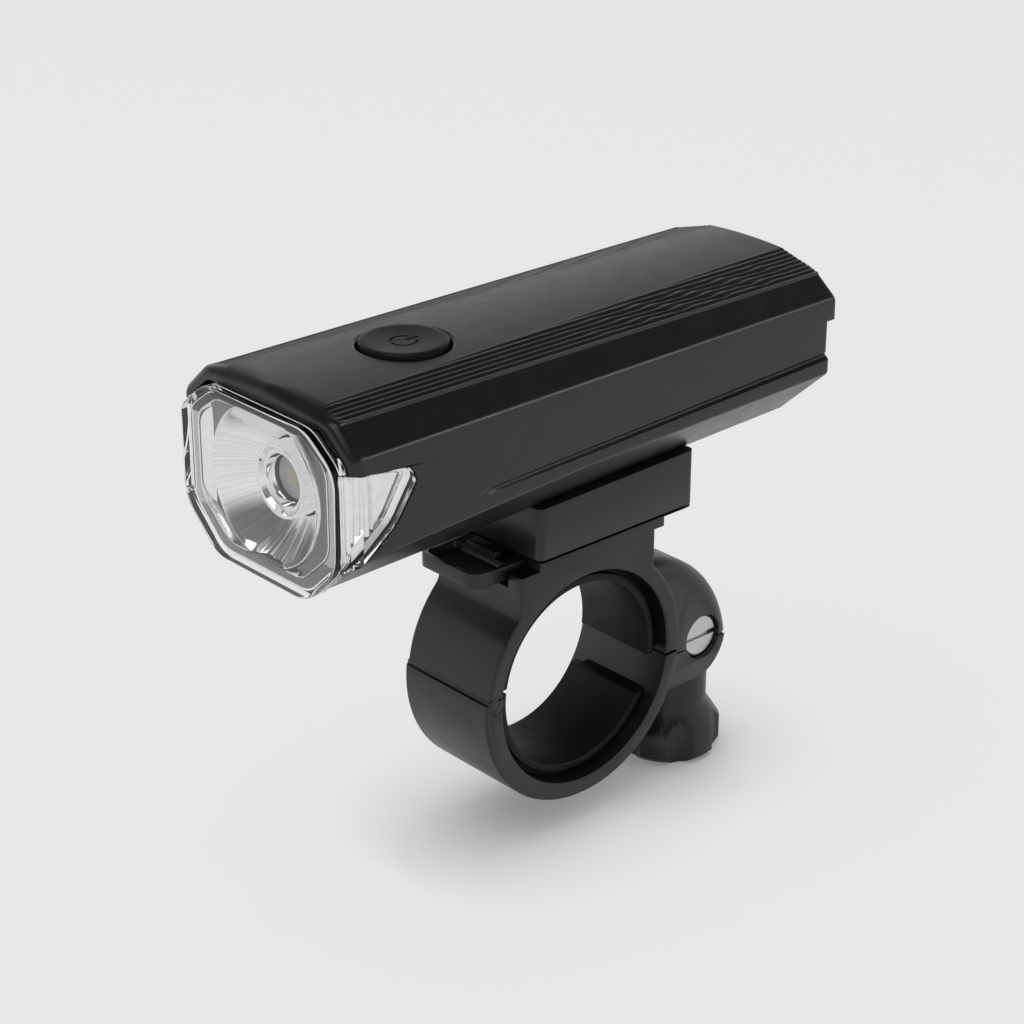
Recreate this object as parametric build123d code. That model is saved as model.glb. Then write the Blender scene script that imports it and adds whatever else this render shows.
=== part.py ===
"""Handlebar bike headlight: lamp head, slide-on bracket and hinged bar clamp.

Millimetres. The origin is the centre of the handlebar bore, +X runs along the bar,
-Y is the way the beam points and +Z is up.
"""
from build123d import *
from math import cos, pi, radians, sin, sqrt
import os

# Handlebar and clamp ring
bar_radius = 15.9
grip_clearance = 0.05
liner_thickness = 2.5
liner_seat_clearance = 0.05
ring_wall = 2.9
clamp_half_width = 10.0
liner_side_inset = 2.0
clamp_edge_round = 0.5

# Front hinge of the clamp: a bead on the lower half rolls in a seat of the upper half
hinge_height = 2.4
hinge_inset = 0.95
hinge_bead_radius = 1.0
hinge_clearance = 0.08
hinge_hook_wall = 0.95
hinge_stem_gap = 0.12
front_seam_gap = 0.35
jaw_proud = 0.5

# Rear lugs, cross barrel and bolt
lug_half_width = 8.0
barrel_y = 29.2
barrel_z = -3.4
barrel_radius = 3.95
barrel_clearance = 0.06
barrel_half_length = 6.0
lug_seam_drop = 0.9
rear_seam_z = -2.2
rear_seam_gap = 0.3
lug_bottom_drop = 7.4
lug_rear_reach = 5.4
lug_rear_waist = 4.1
lug_top_start_y = 15.0
lug_top_start_z = 14.2
lug_top_mid_y = 30.4
lug_top_mid_z = 7.7
lug_top_rear_y = 36.4
lug_top_round = 3.4
recess_radius = 3.3
recess_depth = 0.5
recess_disc_radius = 2.5
recess_disc_sink = 0.15
bolt_radius = 2.45
bolt_end_gap = 0.5
bolt_slot_clearance = 0.3
bolt_end_chamfer = 0.5
swing_slot_rise = 3.2

# Thumb knob under the lugs
washer_radius = 6.1
washer_thickness = 0.8
washer_gap = 0.06
knob_collar_radius = 6.7
knob_collar_height = 6.0
knob_cone_height = 3.9
knob_lobe_radius = 9.2
knob_lobe_height = 5.2
knob_lobe_count = 6
knob_scallop_radius = 3.6
knob_scallop_offset = 11.6
knob_round = 0.9
knob_floor = 1.0
knob_bore_clearance = 0.25
insert_flat_radius = 4.0
insert_height = 8.0
insert_clearance = 0.04
thread_clearance = 0.05

# Rail plate on top of the clamp
plate_top = 24.0
neck_front = -14.5
plate_rear = 17.2
plate_lip = 2.3
neck_rear = 15.0
neck_fillet = 3.0
plate_pocket_depth = 1.6
plate_pocket_length = 4.0
rail_front = -4.9
rail_neck_half = 4.5
rail_neck_height = 2.6
rail_head_half = 7.0
rail_head_height = 2.4
rail_clearance = 0.1

# Release lever (finger tab) under the front of the rail plate
lever_half_width = 6.6
lever_front = -21.8
lever_step = 0.4
lever_thickness = 2.4
lever_pivot_y = -6.9
lever_pivot_radius = 1.25
lever_clearance = 0.1
lever_lip_height = 0.55
lever_lip_length = 2.2
lever_corner_round = 2.2
lever_dish_depth = 0.7
lever_dish_radius = 9.0
lever_slot_gap = 0.35
lever_drop = 8.0
latch_height = 0.5
latch_length = 1.4
latch_gap = 0.2

# Rail shoe screwed under the lamp head
shoe_half_width = 12.0
shoe_front = -12.5
shoe_length = 34.0
shoe_gap = 0.7
shoe_top_gap = 0.12
shoe_round = 1.2
shoe_edge_round = 0.4
shoe_screw_front_share = 0.3
shoe_screw_rear_share = 0.8
shoe_screw_radius = 1.25
shoe_screw_head_radius = 2.3
shoe_screw_head_height = 1.5
screw_clearance = 0.05

# Cell that the lamp head is built round
cell_radius = 9.2
cell_length = 65.0
cell_front = -31.5
cell_z = 47.0
cell_button_radius = 3.0
cell_button_height = 0.8

# Lamp head: outside, as room round the cell
head_side_room = 10.8
head_front_room = 23.5
head_rear_room = 11.8
ridge_rise = 0.6
cover_overhang = 1.0
cover_wall = 1.5
cover_rear_wall = 2.0
seam_drop = 3.3
crest_inset = 4.8
crest_rise = 4.4
crest_step_width = 0.3
crest_step_rise = 0.55
crown_front_rise = 5.6
crown_rear_rise = 6.3
facet_front_width = 0.4
facet_rear_width = 8.0
facet_rear_tilt = 1.0
cover_lip_round = 0.6

# Fine fan of grooves on the two triangular facets of the cover
groove_count = 7
groove_start_share = 0.2
groove_start_step_share = 0.05
groove_width = 0.62
groove_depth = 0.28
groove_taper_share = 0.25

# Lower housing
housing_setback = 1.0
housing_wall = 2.0
floor_room = 4.4
floor_rise = 2.0
front_corner_rise = 7.8
waist_y = -10.0
waist_corner_rise = 10.2
rear_corner_rise = 11.0
bottom_inset = 9.8
side_relief_setback = 22.6
side_relief_start_rise = 11.9
side_relief_end_rise = 13.9
side_relief_depth = 0.7
seam_gap = 0.1

# Front lens: a clear cup with a window wrapped round each side
lens_proud = 2.0
lens_side_inset = 1.6
lens_top_rise = 3.55
lens_top_inset = 8.0
lens_shoulder_drop = 1.1
lens_lower_corner_drop = 1.2
lens_bottom_inset = 0.8
lens_bottom_rise = 0.1
lens_plate = 2.0
lens_wall = 2.8
lens_skirt_gap = 0.15
lens_skirt_depth = 3.0
lens_skirt_inset = 2.0
lens_corner_round = 2.2
lens_edge_round = 0.9
window_thickness = 2.0
window_front_inset = 0.4
window_length = 13.4
window_tip_drop = 2.1
window_tip_round = 1.2
window_shoulder_back = 1.4
window_notch_back = 4.0
window_notch_drop = 7.7
window_low_back = 10.4
window_low_drop = 12.2
window_low_round = 2.5
window_front_drop = 13.5
window_clearance = 0.1

# Reflector and light source
beam_rise = 0.1
bowl_inset = 6.4
bowl_setback = 0.92
bowl_depth = 8.78
led_setback = 4.68
bowl_wall = 0.9
bowl_curve_steps = 12
bowl_hole_radius = 5.2
reflector_plate = 0.8
reflector_edge_gap = 0.3
wing_thickness = 0.9
wing_gap = 0.5
wing_rib_count = 5
wing_rib_radius = 0.7
led_board_radius = 9.5
led_board_thickness = 1.6
led_board_gap = 0.12
led_base_half = 2.5
led_base_height = 1.0
led_dome_radius = 2.1
led_ring_wall = 1.3
led_ring_gap = 0.12
heat_plate_side_gap = 5.0
heat_plate_low_gap = 5.2
heat_plate_top_drop = 0.4
heat_plate_thickness = 3.0
heat_plate_corner = 4.5
gasket_thickness = 0.8

# Cradle and electronics
contact_width = 5.0
contact_thickness = 0.3
contact_gap = 0.1
cradle_side_wall = 2.8
cradle_floor_wall = 0.05
cradle_top_drop = 1.0
cradle_end_overlap = 1.2
cradle_end_wall = 1.6
cradle_post_half = 1.4
cradle_corner = 2.6
cradle_clearance = 0.12
cradle_rib_count = 4
cradle_rib = 2.4
board_lift = 0.8
board_thickness = 1.2
board_side_gap = 6.0
board_front_reach = 1.5
board_rear_reach = 2.0
board_tongue_half = 5.6
board_tongue_gap = 2.7
board_gap = 0.05
switch_half = 3.0
switch_height = 0.8
switch_plunger_radius = 1.6
switch_plunger_height = 0.35
chip_size = 6.4
chip_shares = ((-0.35, 0.3, 1.0, 0.75, 0.16), (0.35, 0.38, 0.7, 0.95, 0.13), (-0.3, 0.6, 0.8, 0.8, 0.19),
               (0.4, 0.66, 0.5, 0.75, 0.11), (0.0, 0.84, 0.95, 0.6, 0.14))
usb_half_width = 4.5
usb_height = 2.9
usb_depth = 7.4
usb_wall = 0.35
usb_mouth_gap = 0.2
seal_width = 0.7
seal_height = 0.8
seal_gap = 0.06

# Housing screws
boss_radius = 2.3
boss_side_inset = 1.9
boss_front_room = 5.4
boss_rear_room = 5.6
boss_split_drop = 4.0
boss_gap = 0.1
housing_screw_radius = 1.0
housing_screw_head_radius = 1.9
housing_screw_head_height = 1.5
housing_screw_grip = 8.0
driver_slot_depth = 0.6
driver_slot_half = 0.25

# Power button
button_setback = 26.0
button_radius = 7.1
button_gap = 0.35
button_proud = 0.55
button_cap_height = 2.4
button_flange_radius = 7.9
button_flange_height = 0.5
button_flange_gap = 0.05
button_stem_radius = 1.8
button_travel = 0.6
button_round = 0.7
button_bezel_radius = 8.0
button_bezel_depth = 0.35
symbol_radius = 2.0
symbol_width = 0.45
symbol_depth = 0.2
symbol_bar = 1.9
symbol_gap_angle = 60.0
button_seal_radius = 9.2
button_seal_height = 0.5

# Rubber flap over the charging socket
flap_half_width = 8.0
flap_top_rise = 1.4
flap_thickness = 0.9
flap_gap = 0.15
flap_bead_radius = 0.6
flap_bead_drop = 6.6
flap_bead_half = 6.0
flap_plug_half = 3.7
flap_plug_half_height = 0.7
flap_plug_depth = 2.0
flap_round = 1.6

# One overrun serves every cut
overrun = 1.0

# Sizes worked out from the ones above
liner_inner = bar_radius + grip_clearance
ring_inner = liner_inner + liner_thickness
ring_outer = ring_inner + ring_wall
hinge_y = -sqrt((ring_outer - hinge_inset) ** 2 - hinge_height ** 2)
lug_seam_z = barrel_z - lug_seam_drop
lug_bottom_z = barrel_z - lug_bottom_drop
washer_top = lug_bottom_z - washer_gap
washer_bottom = washer_top - washer_thickness
knob_top = washer_bottom - washer_gap
knob_cone_top = knob_top - knob_collar_height
knob_lobe_top = knob_cone_top - knob_cone_height
knob_bottom = knob_lobe_top - knob_lobe_height
cell_rear = cell_front + cell_length
head_half_width = cell_radius + head_side_room
cover_front = cell_front - head_front_room
cover_rear = cell_rear + head_rear_room
cover_length = cover_rear - cover_front
housing_front = cover_front + housing_setback
housing_rear = cover_rear - cover_overhang
ridge_z = cell_z + cell_radius + ridge_rise
seam_z = ridge_z - seam_drop
front_bottom_z = cell_z - cell_radius - floor_room
rear_bottom_z = front_bottom_z + floor_rise
front_corner_z = front_bottom_z + front_corner_rise
waist_corner_z = front_bottom_z + waist_corner_rise
rear_corner_z = front_bottom_z + rear_corner_rise
bottom_half_width = head_half_width - bottom_inset
side_relief_start_y = housing_front + side_relief_setback
side_relief_start_z = front_bottom_z + side_relief_start_rise
side_relief_end_z = front_bottom_z + side_relief_end_rise
boss_x = bottom_half_width - boss_side_inset
boss_front_y = cell_front - boss_front_room
boss_rear_y = cell_rear + boss_rear_room
boss_split_z = cell_z - boss_split_drop
lens_front = cover_front - lens_proud
lens_half_width = head_half_width - lens_side_inset
lens_top_z = ridge_z + lens_top_rise
lens_top_half = head_half_width - lens_top_inset
lens_shoulder_z = ridge_z - lens_shoulder_drop
lens_lower_corner_z = front_corner_z - lens_lower_corner_drop
lens_bottom_half = bottom_half_width - lens_bottom_inset
lens_bottom_z = front_bottom_z + lens_bottom_rise
window_front_y = lens_front + window_front_inset
window_tip_y = window_front_y + window_length
window_tip_z = seam_z - window_tip_drop
window_shoulder_y = window_tip_y - window_shoulder_back
window_notch_y = window_tip_y - window_notch_back
window_notch_z = seam_z - window_notch_drop
window_low_y = window_tip_y - window_low_back
window_low_z = seam_z - window_low_drop
window_front_z = seam_z - window_front_drop
reflector_z = cell_z + beam_rise
bowl_radius = lens_half_width - bowl_inset
bowl_rim_y = lens_front + lens_plate + bowl_setback
bowl_vertex_y = bowl_rim_y + bowl_depth
bowl_focus = bowl_radius ** 2 / (4 * bowl_depth)
bowl_base_y = bowl_vertex_y - bowl_hole_radius ** 2 / (4 * bowl_focus)
led_plane_y = bowl_rim_y + led_setback
heat_plate_half_width = head_half_width - heat_plate_side_gap
heat_plate_low_z = front_bottom_z + heat_plate_low_gap
heat_plate_high_z = ridge_z - heat_plate_top_drop
cradle_half_width = cell_radius + cradle_side_wall
cradle_floor_z = cell_z - cell_radius - cradle_floor_wall
cradle_top_z = cell_z - cradle_top_drop
board_z = cell_z + cell_radius + board_lift
board_half_width = head_half_width - board_side_gap
board_front = cell_front - board_front_reach
board_rear = cell_rear + board_rear_reach
board_tongue_rear = housing_rear - board_tongue_gap
button_y = cover_front + button_setback
flap_top_z = board_z + board_thickness + flap_top_rise
flap_bead_z = board_z - flap_bead_drop
shoe_bottom = plate_top + shoe_gap
shoe_rear = shoe_front + shoe_length
rail_neck_top = plate_top + rail_neck_height
rail_top = rail_neck_top + rail_head_height
lever_top = plate_top - lever_step
led_board_front = bowl_base_y + bowl_wall + led_board_gap
led_board_rear = led_board_front + led_board_thickness
heat_plate_front = led_board_rear + led_board_gap
board_top = board_z + board_thickness
lens_rear = housing_front - lens_skirt_gap
lens_skirt_rear = lens_rear + lens_skirt_depth
window_inner_x = head_half_width - window_thickness
flap_bead_y = housing_rear
flap_front = housing_rear + flap_gap
flap_rear = flap_front + flap_thickness


def side_prism(face, half_width):
    """Solid of a side-view face (Y, Z) that reaches half_width to each side of X = 0."""
    return extrude(Plane.YZ * face, half_width, both=True)


def section_plane(y):
    """Plane across the head at y, with X to the right and Z up."""
    return Plane((0, y, 0), x_dir=(1, 0, 0), z_dir=(0, -1, 0))


def block(x0, x1, y0, y1, z0, z1):
    """Box between two corners."""
    size = Box(x1 - x0, y1 - y0, z1 - z0)
    return Pos((x0 + x1) / 2, (y0 + y1) / 2, (z0 + z1) / 2) * size


def upright(radius, z0, z1, x=0, y=0):
    """Upright cylinder from z0 to z1."""
    return Pos(x, y, (z0 + z1) / 2) * Cylinder(radius, z1 - z0)


def rod_x(radius, half_length, y, z):
    """Cylinder along X, centred on X = 0."""
    return Pos(0, y, z) * Rot(0, 90, 0) * Cylinder(radius, 2 * half_length)


def rod_y(radius, y0, y1, x=0, z=0):
    """Cylinder along Y from y0 to y1."""
    return Pos(x, (y0 + y1) / 2, z) * Rot(90, 0, 0) * Cylinder(radius, y1 - y0)


def blend(a, b, share):
    """Value that lies share of the way from a to b."""
    return a + (b - a) * share


def symmetric_section(half, crown):
    """Closed X-Z face: right side points from the top down, their mirror, and an arc on top."""
    left = [(-x, z) for x, z in reversed(half)]
    sides = Polyline(*half, *left)
    top = ThreePointArc(left[-1], (0, crown), half[0])
    return make_face(sides.edges() + [top])


def symmetric_polygon(half):
    """Closed X-Z face of straight edges, from its right side points."""
    left = [(-x, z) for x, z in reversed(half)]
    return make_face(Polyline(*half, *left, close=True).edges())


# Lamp head

def cover_profile(y):
    """Right side points and crown height of the cover's outside at y."""
    share = (y - cover_front) / cover_length
    crest_x = head_half_width - crest_inset
    crest_z = ridge_z + crest_rise
    step_x = crest_x - crest_step_width
    step_z = crest_z + crest_step_rise
    facet_x = blend(step_x - facet_front_width, step_x - facet_rear_width, share)
    crown = ridge_z + blend(crown_front_rise, crown_rear_rise, share)
    facet_z = blend(step_z, step_z + facet_rear_tilt, share)
    half = [(facet_x, facet_z), (step_x, step_z), (crest_x, crest_z), (head_half_width, ridge_z)]
    return half, crown


def cover_section(y):
    """Face across the outside of the cover at y, closed just above the seam."""
    half, crown = cover_profile(y)
    half.append((head_half_width, seam_z + seam_gap / 2))
    return section_plane(y) * symmetric_section(half, crown)


def cover_inner_section(y):
    """Face across the cover's inside at y: the side, the slope and the roof, one wall further in."""
    crown = cover_profile(y)[1]
    slope = Vector(-crest_inset, crest_rise).normalized()
    on_slope = Vector(head_half_width - cover_wall * slope.Y, ridge_z + cover_wall * slope.X)
    side_x = head_half_width - cover_wall
    roof_z = ridge_z + crest_rise + crest_step_rise - cover_wall
    shoulder_z = on_slope.Y + (on_slope.X - side_x) * crest_rise / crest_inset
    roof_x = on_slope.X - (roof_z - on_slope.Y) * crest_inset / crest_rise
    half = [(roof_x, roof_z), (side_x, shoulder_z), (side_x, seam_z - overrun)]
    return section_plane(y) * symmetric_section(half, crown - cover_wall)


def cover_under(x, y):
    """Height of the cover's inside at x, near the crown of its arc."""
    half, crown = cover_profile(y)
    facet_x, facet_z = half[0]
    return crown - cover_wall - (crown - facet_z) * (x / facet_x) ** 2


def facet_point(y, across):
    """Point on the ribbed facet at y, a share of the way from its inner to its outer edge."""
    half, _ = cover_profile(y)
    (x0, z0), (x1, z1) = half[0], half[1]
    return blend(x0, x1, across), blend(z0, z1, across)


def groove(side, index):
    """One groove of the fan, thin where it starts and full at the rear."""
    across = (index + 1) / (groove_count + 1)
    start = cover_front + cover_length * (groove_start_share + groove_start_step_share * index)
    ends = []
    for y, scale in ((start, groove_taper_share), (cover_rear + overrun, 1)):
        x, z = facet_point(y, across)
        half = groove_width * scale / 2
        deep = groove_depth * scale
        points = [(side * x, z - deep), (side * (x + half), z + deep), (side * (x - half), z + deep)]
        ends.append(section_plane(y) * make_face(Polyline(*points, close=True).edges()))
    return loft(ends, ruled=True)


def cover_boss(x, y):
    """Post that hangs from the cover and takes a housing screw."""
    crown = cover_profile(y)[1]
    return upright(boss_radius, boss_split_z + boss_gap, crown - cover_wall / 2, x, y)


def make_top_cover():
    ends = [cover_section(y) for y in (cover_front, cover_rear)]
    body = loft(ends, ruled=True)
    lip = [e for e in body.faces().sort_by(Axis.Y)[0].edges() if e.center().Z > seam_z + seam_gap]
    body = fillet(lip, cover_lip_round)
    y_in = cover_front - overrun
    y_out = cover_rear - cover_rear_wall
    low = seam_z - overrun
    body -= loft([cover_inner_section(y) for y in (y_in, y_out)], ruled=True)
    for x in (-boss_x, boss_x):
        for y in (boss_front_y, boss_rear_y):
            body += cover_boss(x, y)
            top = boss_split_z + housing_screw_grip + overrun
            hole = housing_screw_radius + screw_clearance
            body -= upright(hole, boss_split_z - overrun, top, x, y)
    for side in (-1, 1):
        for index in range(groove_count):
            body -= groove(side, index)
    crown = cover_profile(button_y)[1]
    body -= upright(button_radius + button_gap, board_top, crown + overrun, 0, button_y)
    body -= upright(button_bezel_radius, crown - button_bezel_depth, crown + overrun, 0, button_y)
    usb_x = usb_half_width + usb_mouth_gap
    usb_top = board_z + board_thickness + usb_mouth_gap
    body -= block(-usb_x, usb_x, y_out - overrun, cover_rear + overrun, low, usb_top)
    seat_x = flap_half_width + flap_gap
    seat_top = flap_top_z + flap_gap
    body -= block(-seat_x, seat_x, housing_rear, cover_rear + overrun, low, seat_top)
    return body


def bottom_z(y):
    """Height of the housing's underside at y."""
    share = (y - housing_front) / (housing_rear - housing_front)
    return blend(front_bottom_z, rear_bottom_z, share)


def corner_z(y):
    """Height of the lower side corner at y."""
    if y < waist_y:
        share = (y - housing_front) / (waist_y - housing_front)
        return blend(front_corner_z, waist_corner_z, share)
    share = (y - waist_y) / (housing_rear - waist_y)
    return blend(waist_corner_z, rear_corner_z, share)


def housing_section(y, top, inset=0):
    """Face across the lower housing at y, open above at the height top."""
    half = [(head_half_width, top), (head_half_width, corner_z(y)), (bottom_half_width, bottom_z(y))]
    face = symmetric_polygon(half)
    if inset:
        face = offset(face, amount=-inset, kind=Kind.INTERSECTION)
    return section_plane(y) * face


def window_outline(grow=0):
    """Side view of the lens's side window, closed, grown outwards by grow."""
    points = [(window_front_y, seam_z - seam_gap), (window_shoulder_y, seam_z - seam_gap),
              (window_tip_y, window_tip_z), (window_notch_y, window_notch_z),
              (window_low_y, window_low_z), (window_front_y, window_front_z)]
    face = make_face(Polyline(*points, close=True).edges())
    face = fillet(face.vertices().sort_by(Axis.X)[-1], window_tip_round)
    low = face.vertices().sort_by_distance((window_low_y, window_low_z))[0]
    face = fillet(low, window_low_round)
    if grow:
        face = offset(face, amount=grow, kind=Kind.INTERSECTION)
    return face


def side_relief(side):
    """Shallow flat that sinks into the side wall towards the rear, above the lower groove."""
    run = housing_rear - side_relief_start_y
    slope = side_relief_depth / run
    end_y = housing_rear + overrun
    end_z = blend(side_relief_start_z, side_relief_end_z, (end_y - side_relief_start_y) / run)
    start = (0, side_relief_start_z)
    points = [start, (end_y - side_relief_start_y, end_z), (end_y - side_relief_start_y, seam_z + overrun),
              (0, seam_z + overrun)]
    face = make_face(Polyline(*points, close=True).edges())
    origin = (side * head_half_width, side_relief_start_y, 0)
    along = Vector(-side * slope, 1, 0).normalized()
    plane = Plane(origin, x_dir=along, z_dir=along.cross(Vector(0, 0, 1)))
    return extrude(plane * face, amount=side * head_half_width / 2)


def make_lower_housing():
    top = seam_z - seam_gap / 2
    stations = (housing_front, waist_y, housing_rear)
    body = loft([housing_section(y, top) for y in stations], ruled=True)
    inner = (housing_front - overrun, waist_y, housing_rear - housing_wall)
    body -= loft([housing_section(y, top + overrun + housing_wall, housing_wall) for y in inner], ruled=True)
    for side in (-1, 1):
        body -= side_relief(side)
    notch = Plane.YZ * window_outline(window_clearance)
    body -= extrude(notch, head_half_width + overrun, both=True)
    for x in (-boss_x, boss_x):
        for y in (boss_front_y, boss_rear_y):
            floor = bottom_z(y)
            hole = housing_screw_radius + screw_clearance
            head = housing_screw_head_radius + screw_clearance
            body += upright(boss_radius, floor + housing_wall / 2, boss_split_z, x, y)
            body -= upright(hole, floor - overrun, boss_split_z + overrun, x, y)
            sink = floor + housing_screw_head_height + driver_slot_depth
            body -= upright(head, floor - overrun, sink, x, y)
    for y in shoe_screw_places():
        hole = shoe_screw_radius + screw_clearance
        body -= upright(hole, bottom_z(y) - overrun, bottom_z(y) + housing_wall + overrun, 0, y)
    bead = flap_bead_radius + flap_gap
    body -= rod_x(bead, flap_bead_half + flap_gap, flap_bead_y, flap_bead_z)
    return body


def lens_profile(drop=0):
    """Front view of the lens cup, drawn in by drop."""
    half = [(lens_top_half, lens_top_z), (lens_half_width, lens_shoulder_z),
            (lens_half_width, lens_lower_corner_z), (lens_bottom_half, lens_bottom_z)]
    face = symmetric_polygon(half)
    face = fillet(face.vertices(), lens_corner_round)
    if drop:
        face = offset(face, amount=-drop, kind=Kind.INTERSECTION)
    return face


def slab(face, y0, y1):
    """Solid of a front-view face (X, Z) from y0 back to y1."""
    return extrude(section_plane(y1) * face, amount=y1 - y0)


def make_front_lens():
    body = slab(lens_profile(), lens_front, lens_rear)
    body = fillet(body.faces().sort_by(Axis.Y)[0].edges(), lens_edge_round)
    skirt = slab(lens_profile(lens_skirt_inset), lens_rear - overrun, lens_skirt_rear)
    for side in (-1, 1):
        a = side * bottom_half_width
        b = side * head_half_width
        skirt -= block(min(a, b), max(a, b), lens_rear, lens_skirt_rear + overrun, window_front_z,
                       seam_z + overrun)
    body += skirt
    body -= slab(lens_profile(lens_wall), lens_front + lens_plate, lens_skirt_rear + overrun)
    for side in (-1, 1):
        pane = extrude(Plane.YZ * window_outline(), amount=head_half_width)
        pane -= block(0, window_inner_x, lens_front - overrun, window_tip_y + overrun, 0, ridge_z)
        bevel = head_half_width - lens_half_width
        corner = make_face(Polyline((head_half_width - bevel, window_front_y - overrun),
                                    (head_half_width + overrun, window_front_y - overrun),
                                    (head_half_width + overrun, window_front_y + bevel),
                                    (head_half_width, window_front_y + bevel), close=True).edges())
        pane -= extrude(corner, amount=ridge_z + overrun)
        body += pane if side > 0 else mirror(pane, about=Plane.YZ)
    return body


def make_lens_gasket():
    y0 = lens_skirt_rear + seal_gap
    ring = slab(lens_profile(lens_skirt_inset), y0, y0 + gasket_thickness)
    return ring - slab(lens_profile(lens_wall), y0 - overrun, y0 + gasket_thickness + overrun)


def bowl_curve(grow, y_rim):
    """Half section (radius, Y) of the bowl as a filled face, grown backwards by grow."""
    points = []
    for i in range(bowl_curve_steps + 1):
        r = blend(bowl_hole_radius, bowl_radius, i / bowl_curve_steps)
        points.append((r, bowl_vertex_y - r ** 2 / (4 * bowl_focus) + grow))
    curve = Spline(*points)
    base_y = points[0][1]
    rim_y = points[-1][1]
    lines = Polyline(points[-1], (bowl_radius, y_rim), (0, y_rim), (0, base_y), points[0])
    return make_face(lines.edges() + [curve])


def bowl_solid(grow, y_rim):
    """Solid of revolution of the bowl about the beam axis."""
    face = Pos(0, 0, reflector_z) * bowl_curve(grow, y_rim)
    return revolve(face, axis=Axis((0, 0, reflector_z), (0, 1, 0)))


def reflector_wing():
    """Bright plate behind the side window, with upright half-round ribs."""
    x1 = window_inner_x - wing_gap
    x0 = x1 - wing_thickness
    face = window_outline(-wing_gap)
    wing = extrude(Plane.YZ * face, amount=x1)
    y0 = bowl_rim_y
    wing -= block(0, x0, lens_front, window_tip_y, 0, ridge_z)
    ribs = None
    span = window_tip_y - y0 - 2 * wing_rib_radius
    for i in range(wing_rib_count):
        y = y0 + wing_rib_radius + span * (i + 1) / (wing_rib_count + 1)
        rib = upright(wing_rib_radius, 0, ridge_z, x1 - wing_rib_radius / 2, y)
        ribs = rib if ribs is None else ribs + rib
    ribs = ribs & extrude(Plane.YZ * face, amount=x1 + wing_rib_radius / 2)
    joined = wing + ribs
    return joined - block(0, head_half_width, lens_front, y0, 0, ridge_z)


def make_reflector():
    y0 = bowl_rim_y
    outline = lens_profile(lens_wall + reflector_edge_gap)
    plate = slab(outline, y0, y0 + reflector_plate)
    shell = bowl_solid(bowl_wall, y0)
    body = (plate + shell) & slab(outline, y0, bowl_vertex_y + bowl_wall)
    body -= bowl_solid(0, y0 - overrun)
    body -= rod_y(bowl_hole_radius, y0 - overrun, bowl_vertex_y + overrun, 0, reflector_z)
    arm_x = lens_half_width - lens_wall - reflector_edge_gap - wing_thickness
    for side in (-1, 1):
        wing = reflector_wing()
        mid = (window_low_z + seam_z) / 2
        half = (seam_z - mid) / 2
        x1 = window_inner_x - wing_gap
        arm = block(arm_x, x1, y0, y0 + reflector_plate, mid - half, mid + half)
        piece = wing + arm
        body += piece if side > 0 else mirror(piece, about=Plane.YZ)
    return body


def make_led_board():
    board = rod_y(led_board_radius, led_board_front, led_board_rear, 0, reflector_z)
    for angle in (0, 180):
        notch = Pos(0, 0, reflector_z) * Rot(0, angle, 0)
        cut = rod_y(led_ring_wall, led_board_front - overrun, led_board_rear + overrun, led_board_radius, 0)
        board -= notch * cut
    return board


def make_led_emitter():
    y1 = led_board_front
    y0 = y1 - led_base_height
    base = block(-led_base_half, led_base_half, y0, y1, reflector_z - led_base_half,
                 reflector_z + led_base_half)
    dome = Pos(0, y0, reflector_z) * Sphere(led_dome_radius)
    dome -= block(-led_base_half, led_base_half, y0, y1 + led_dome_radius, 0, ridge_z)
    stem = rod_y(led_dome_radius, y0 - led_base_height / 2, y0, 0, reflector_z)
    return base + (Pos(0, -led_base_height / 2, 0) * dome) + stem


def make_led_ring():
    outer = bowl_hole_radius - led_ring_gap
    y0 = led_plane_y + led_ring_gap
    ring = rod_y(outer, y0, led_board_front, 0, reflector_z)
    bore = outer - led_ring_wall
    ring -= rod_y(bore, y0 - overrun, led_board_front + overrun, 0, reflector_z)
    return ring


def make_heat_plate():
    y1 = heat_plate_front + heat_plate_thickness
    body = block(-heat_plate_half_width, heat_plate_half_width, heat_plate_front, y1, heat_plate_low_z,
                 heat_plate_high_z)
    low_edges = body.edges().filter_by(Axis.Y).group_by(Axis.Z)[0]
    return chamfer(low_edges, heat_plate_corner)


# Cell and electronics

def make_battery_cell():
    can = rod_y(cell_radius, cell_front + cell_button_height, cell_rear, 0, cell_z)
    return can + rod_y(cell_button_radius, cell_front, cell_front + 2 * cell_button_height, 0, cell_z)


def make_battery_contacts():
    """Spot-welded strips from the two ends of the cell up to the circuit board."""
    half = contact_width / 2
    ends = []
    for y0, y1 in ((cell_front - contact_gap - contact_thickness, cell_front - contact_gap),
                   (cell_rear + contact_gap, cell_rear + contact_gap + contact_thickness)):
        ends.append(block(-half, half, y0, y1, cell_z - half, board_z - board_gap))
    return Compound(children=ends)


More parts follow.
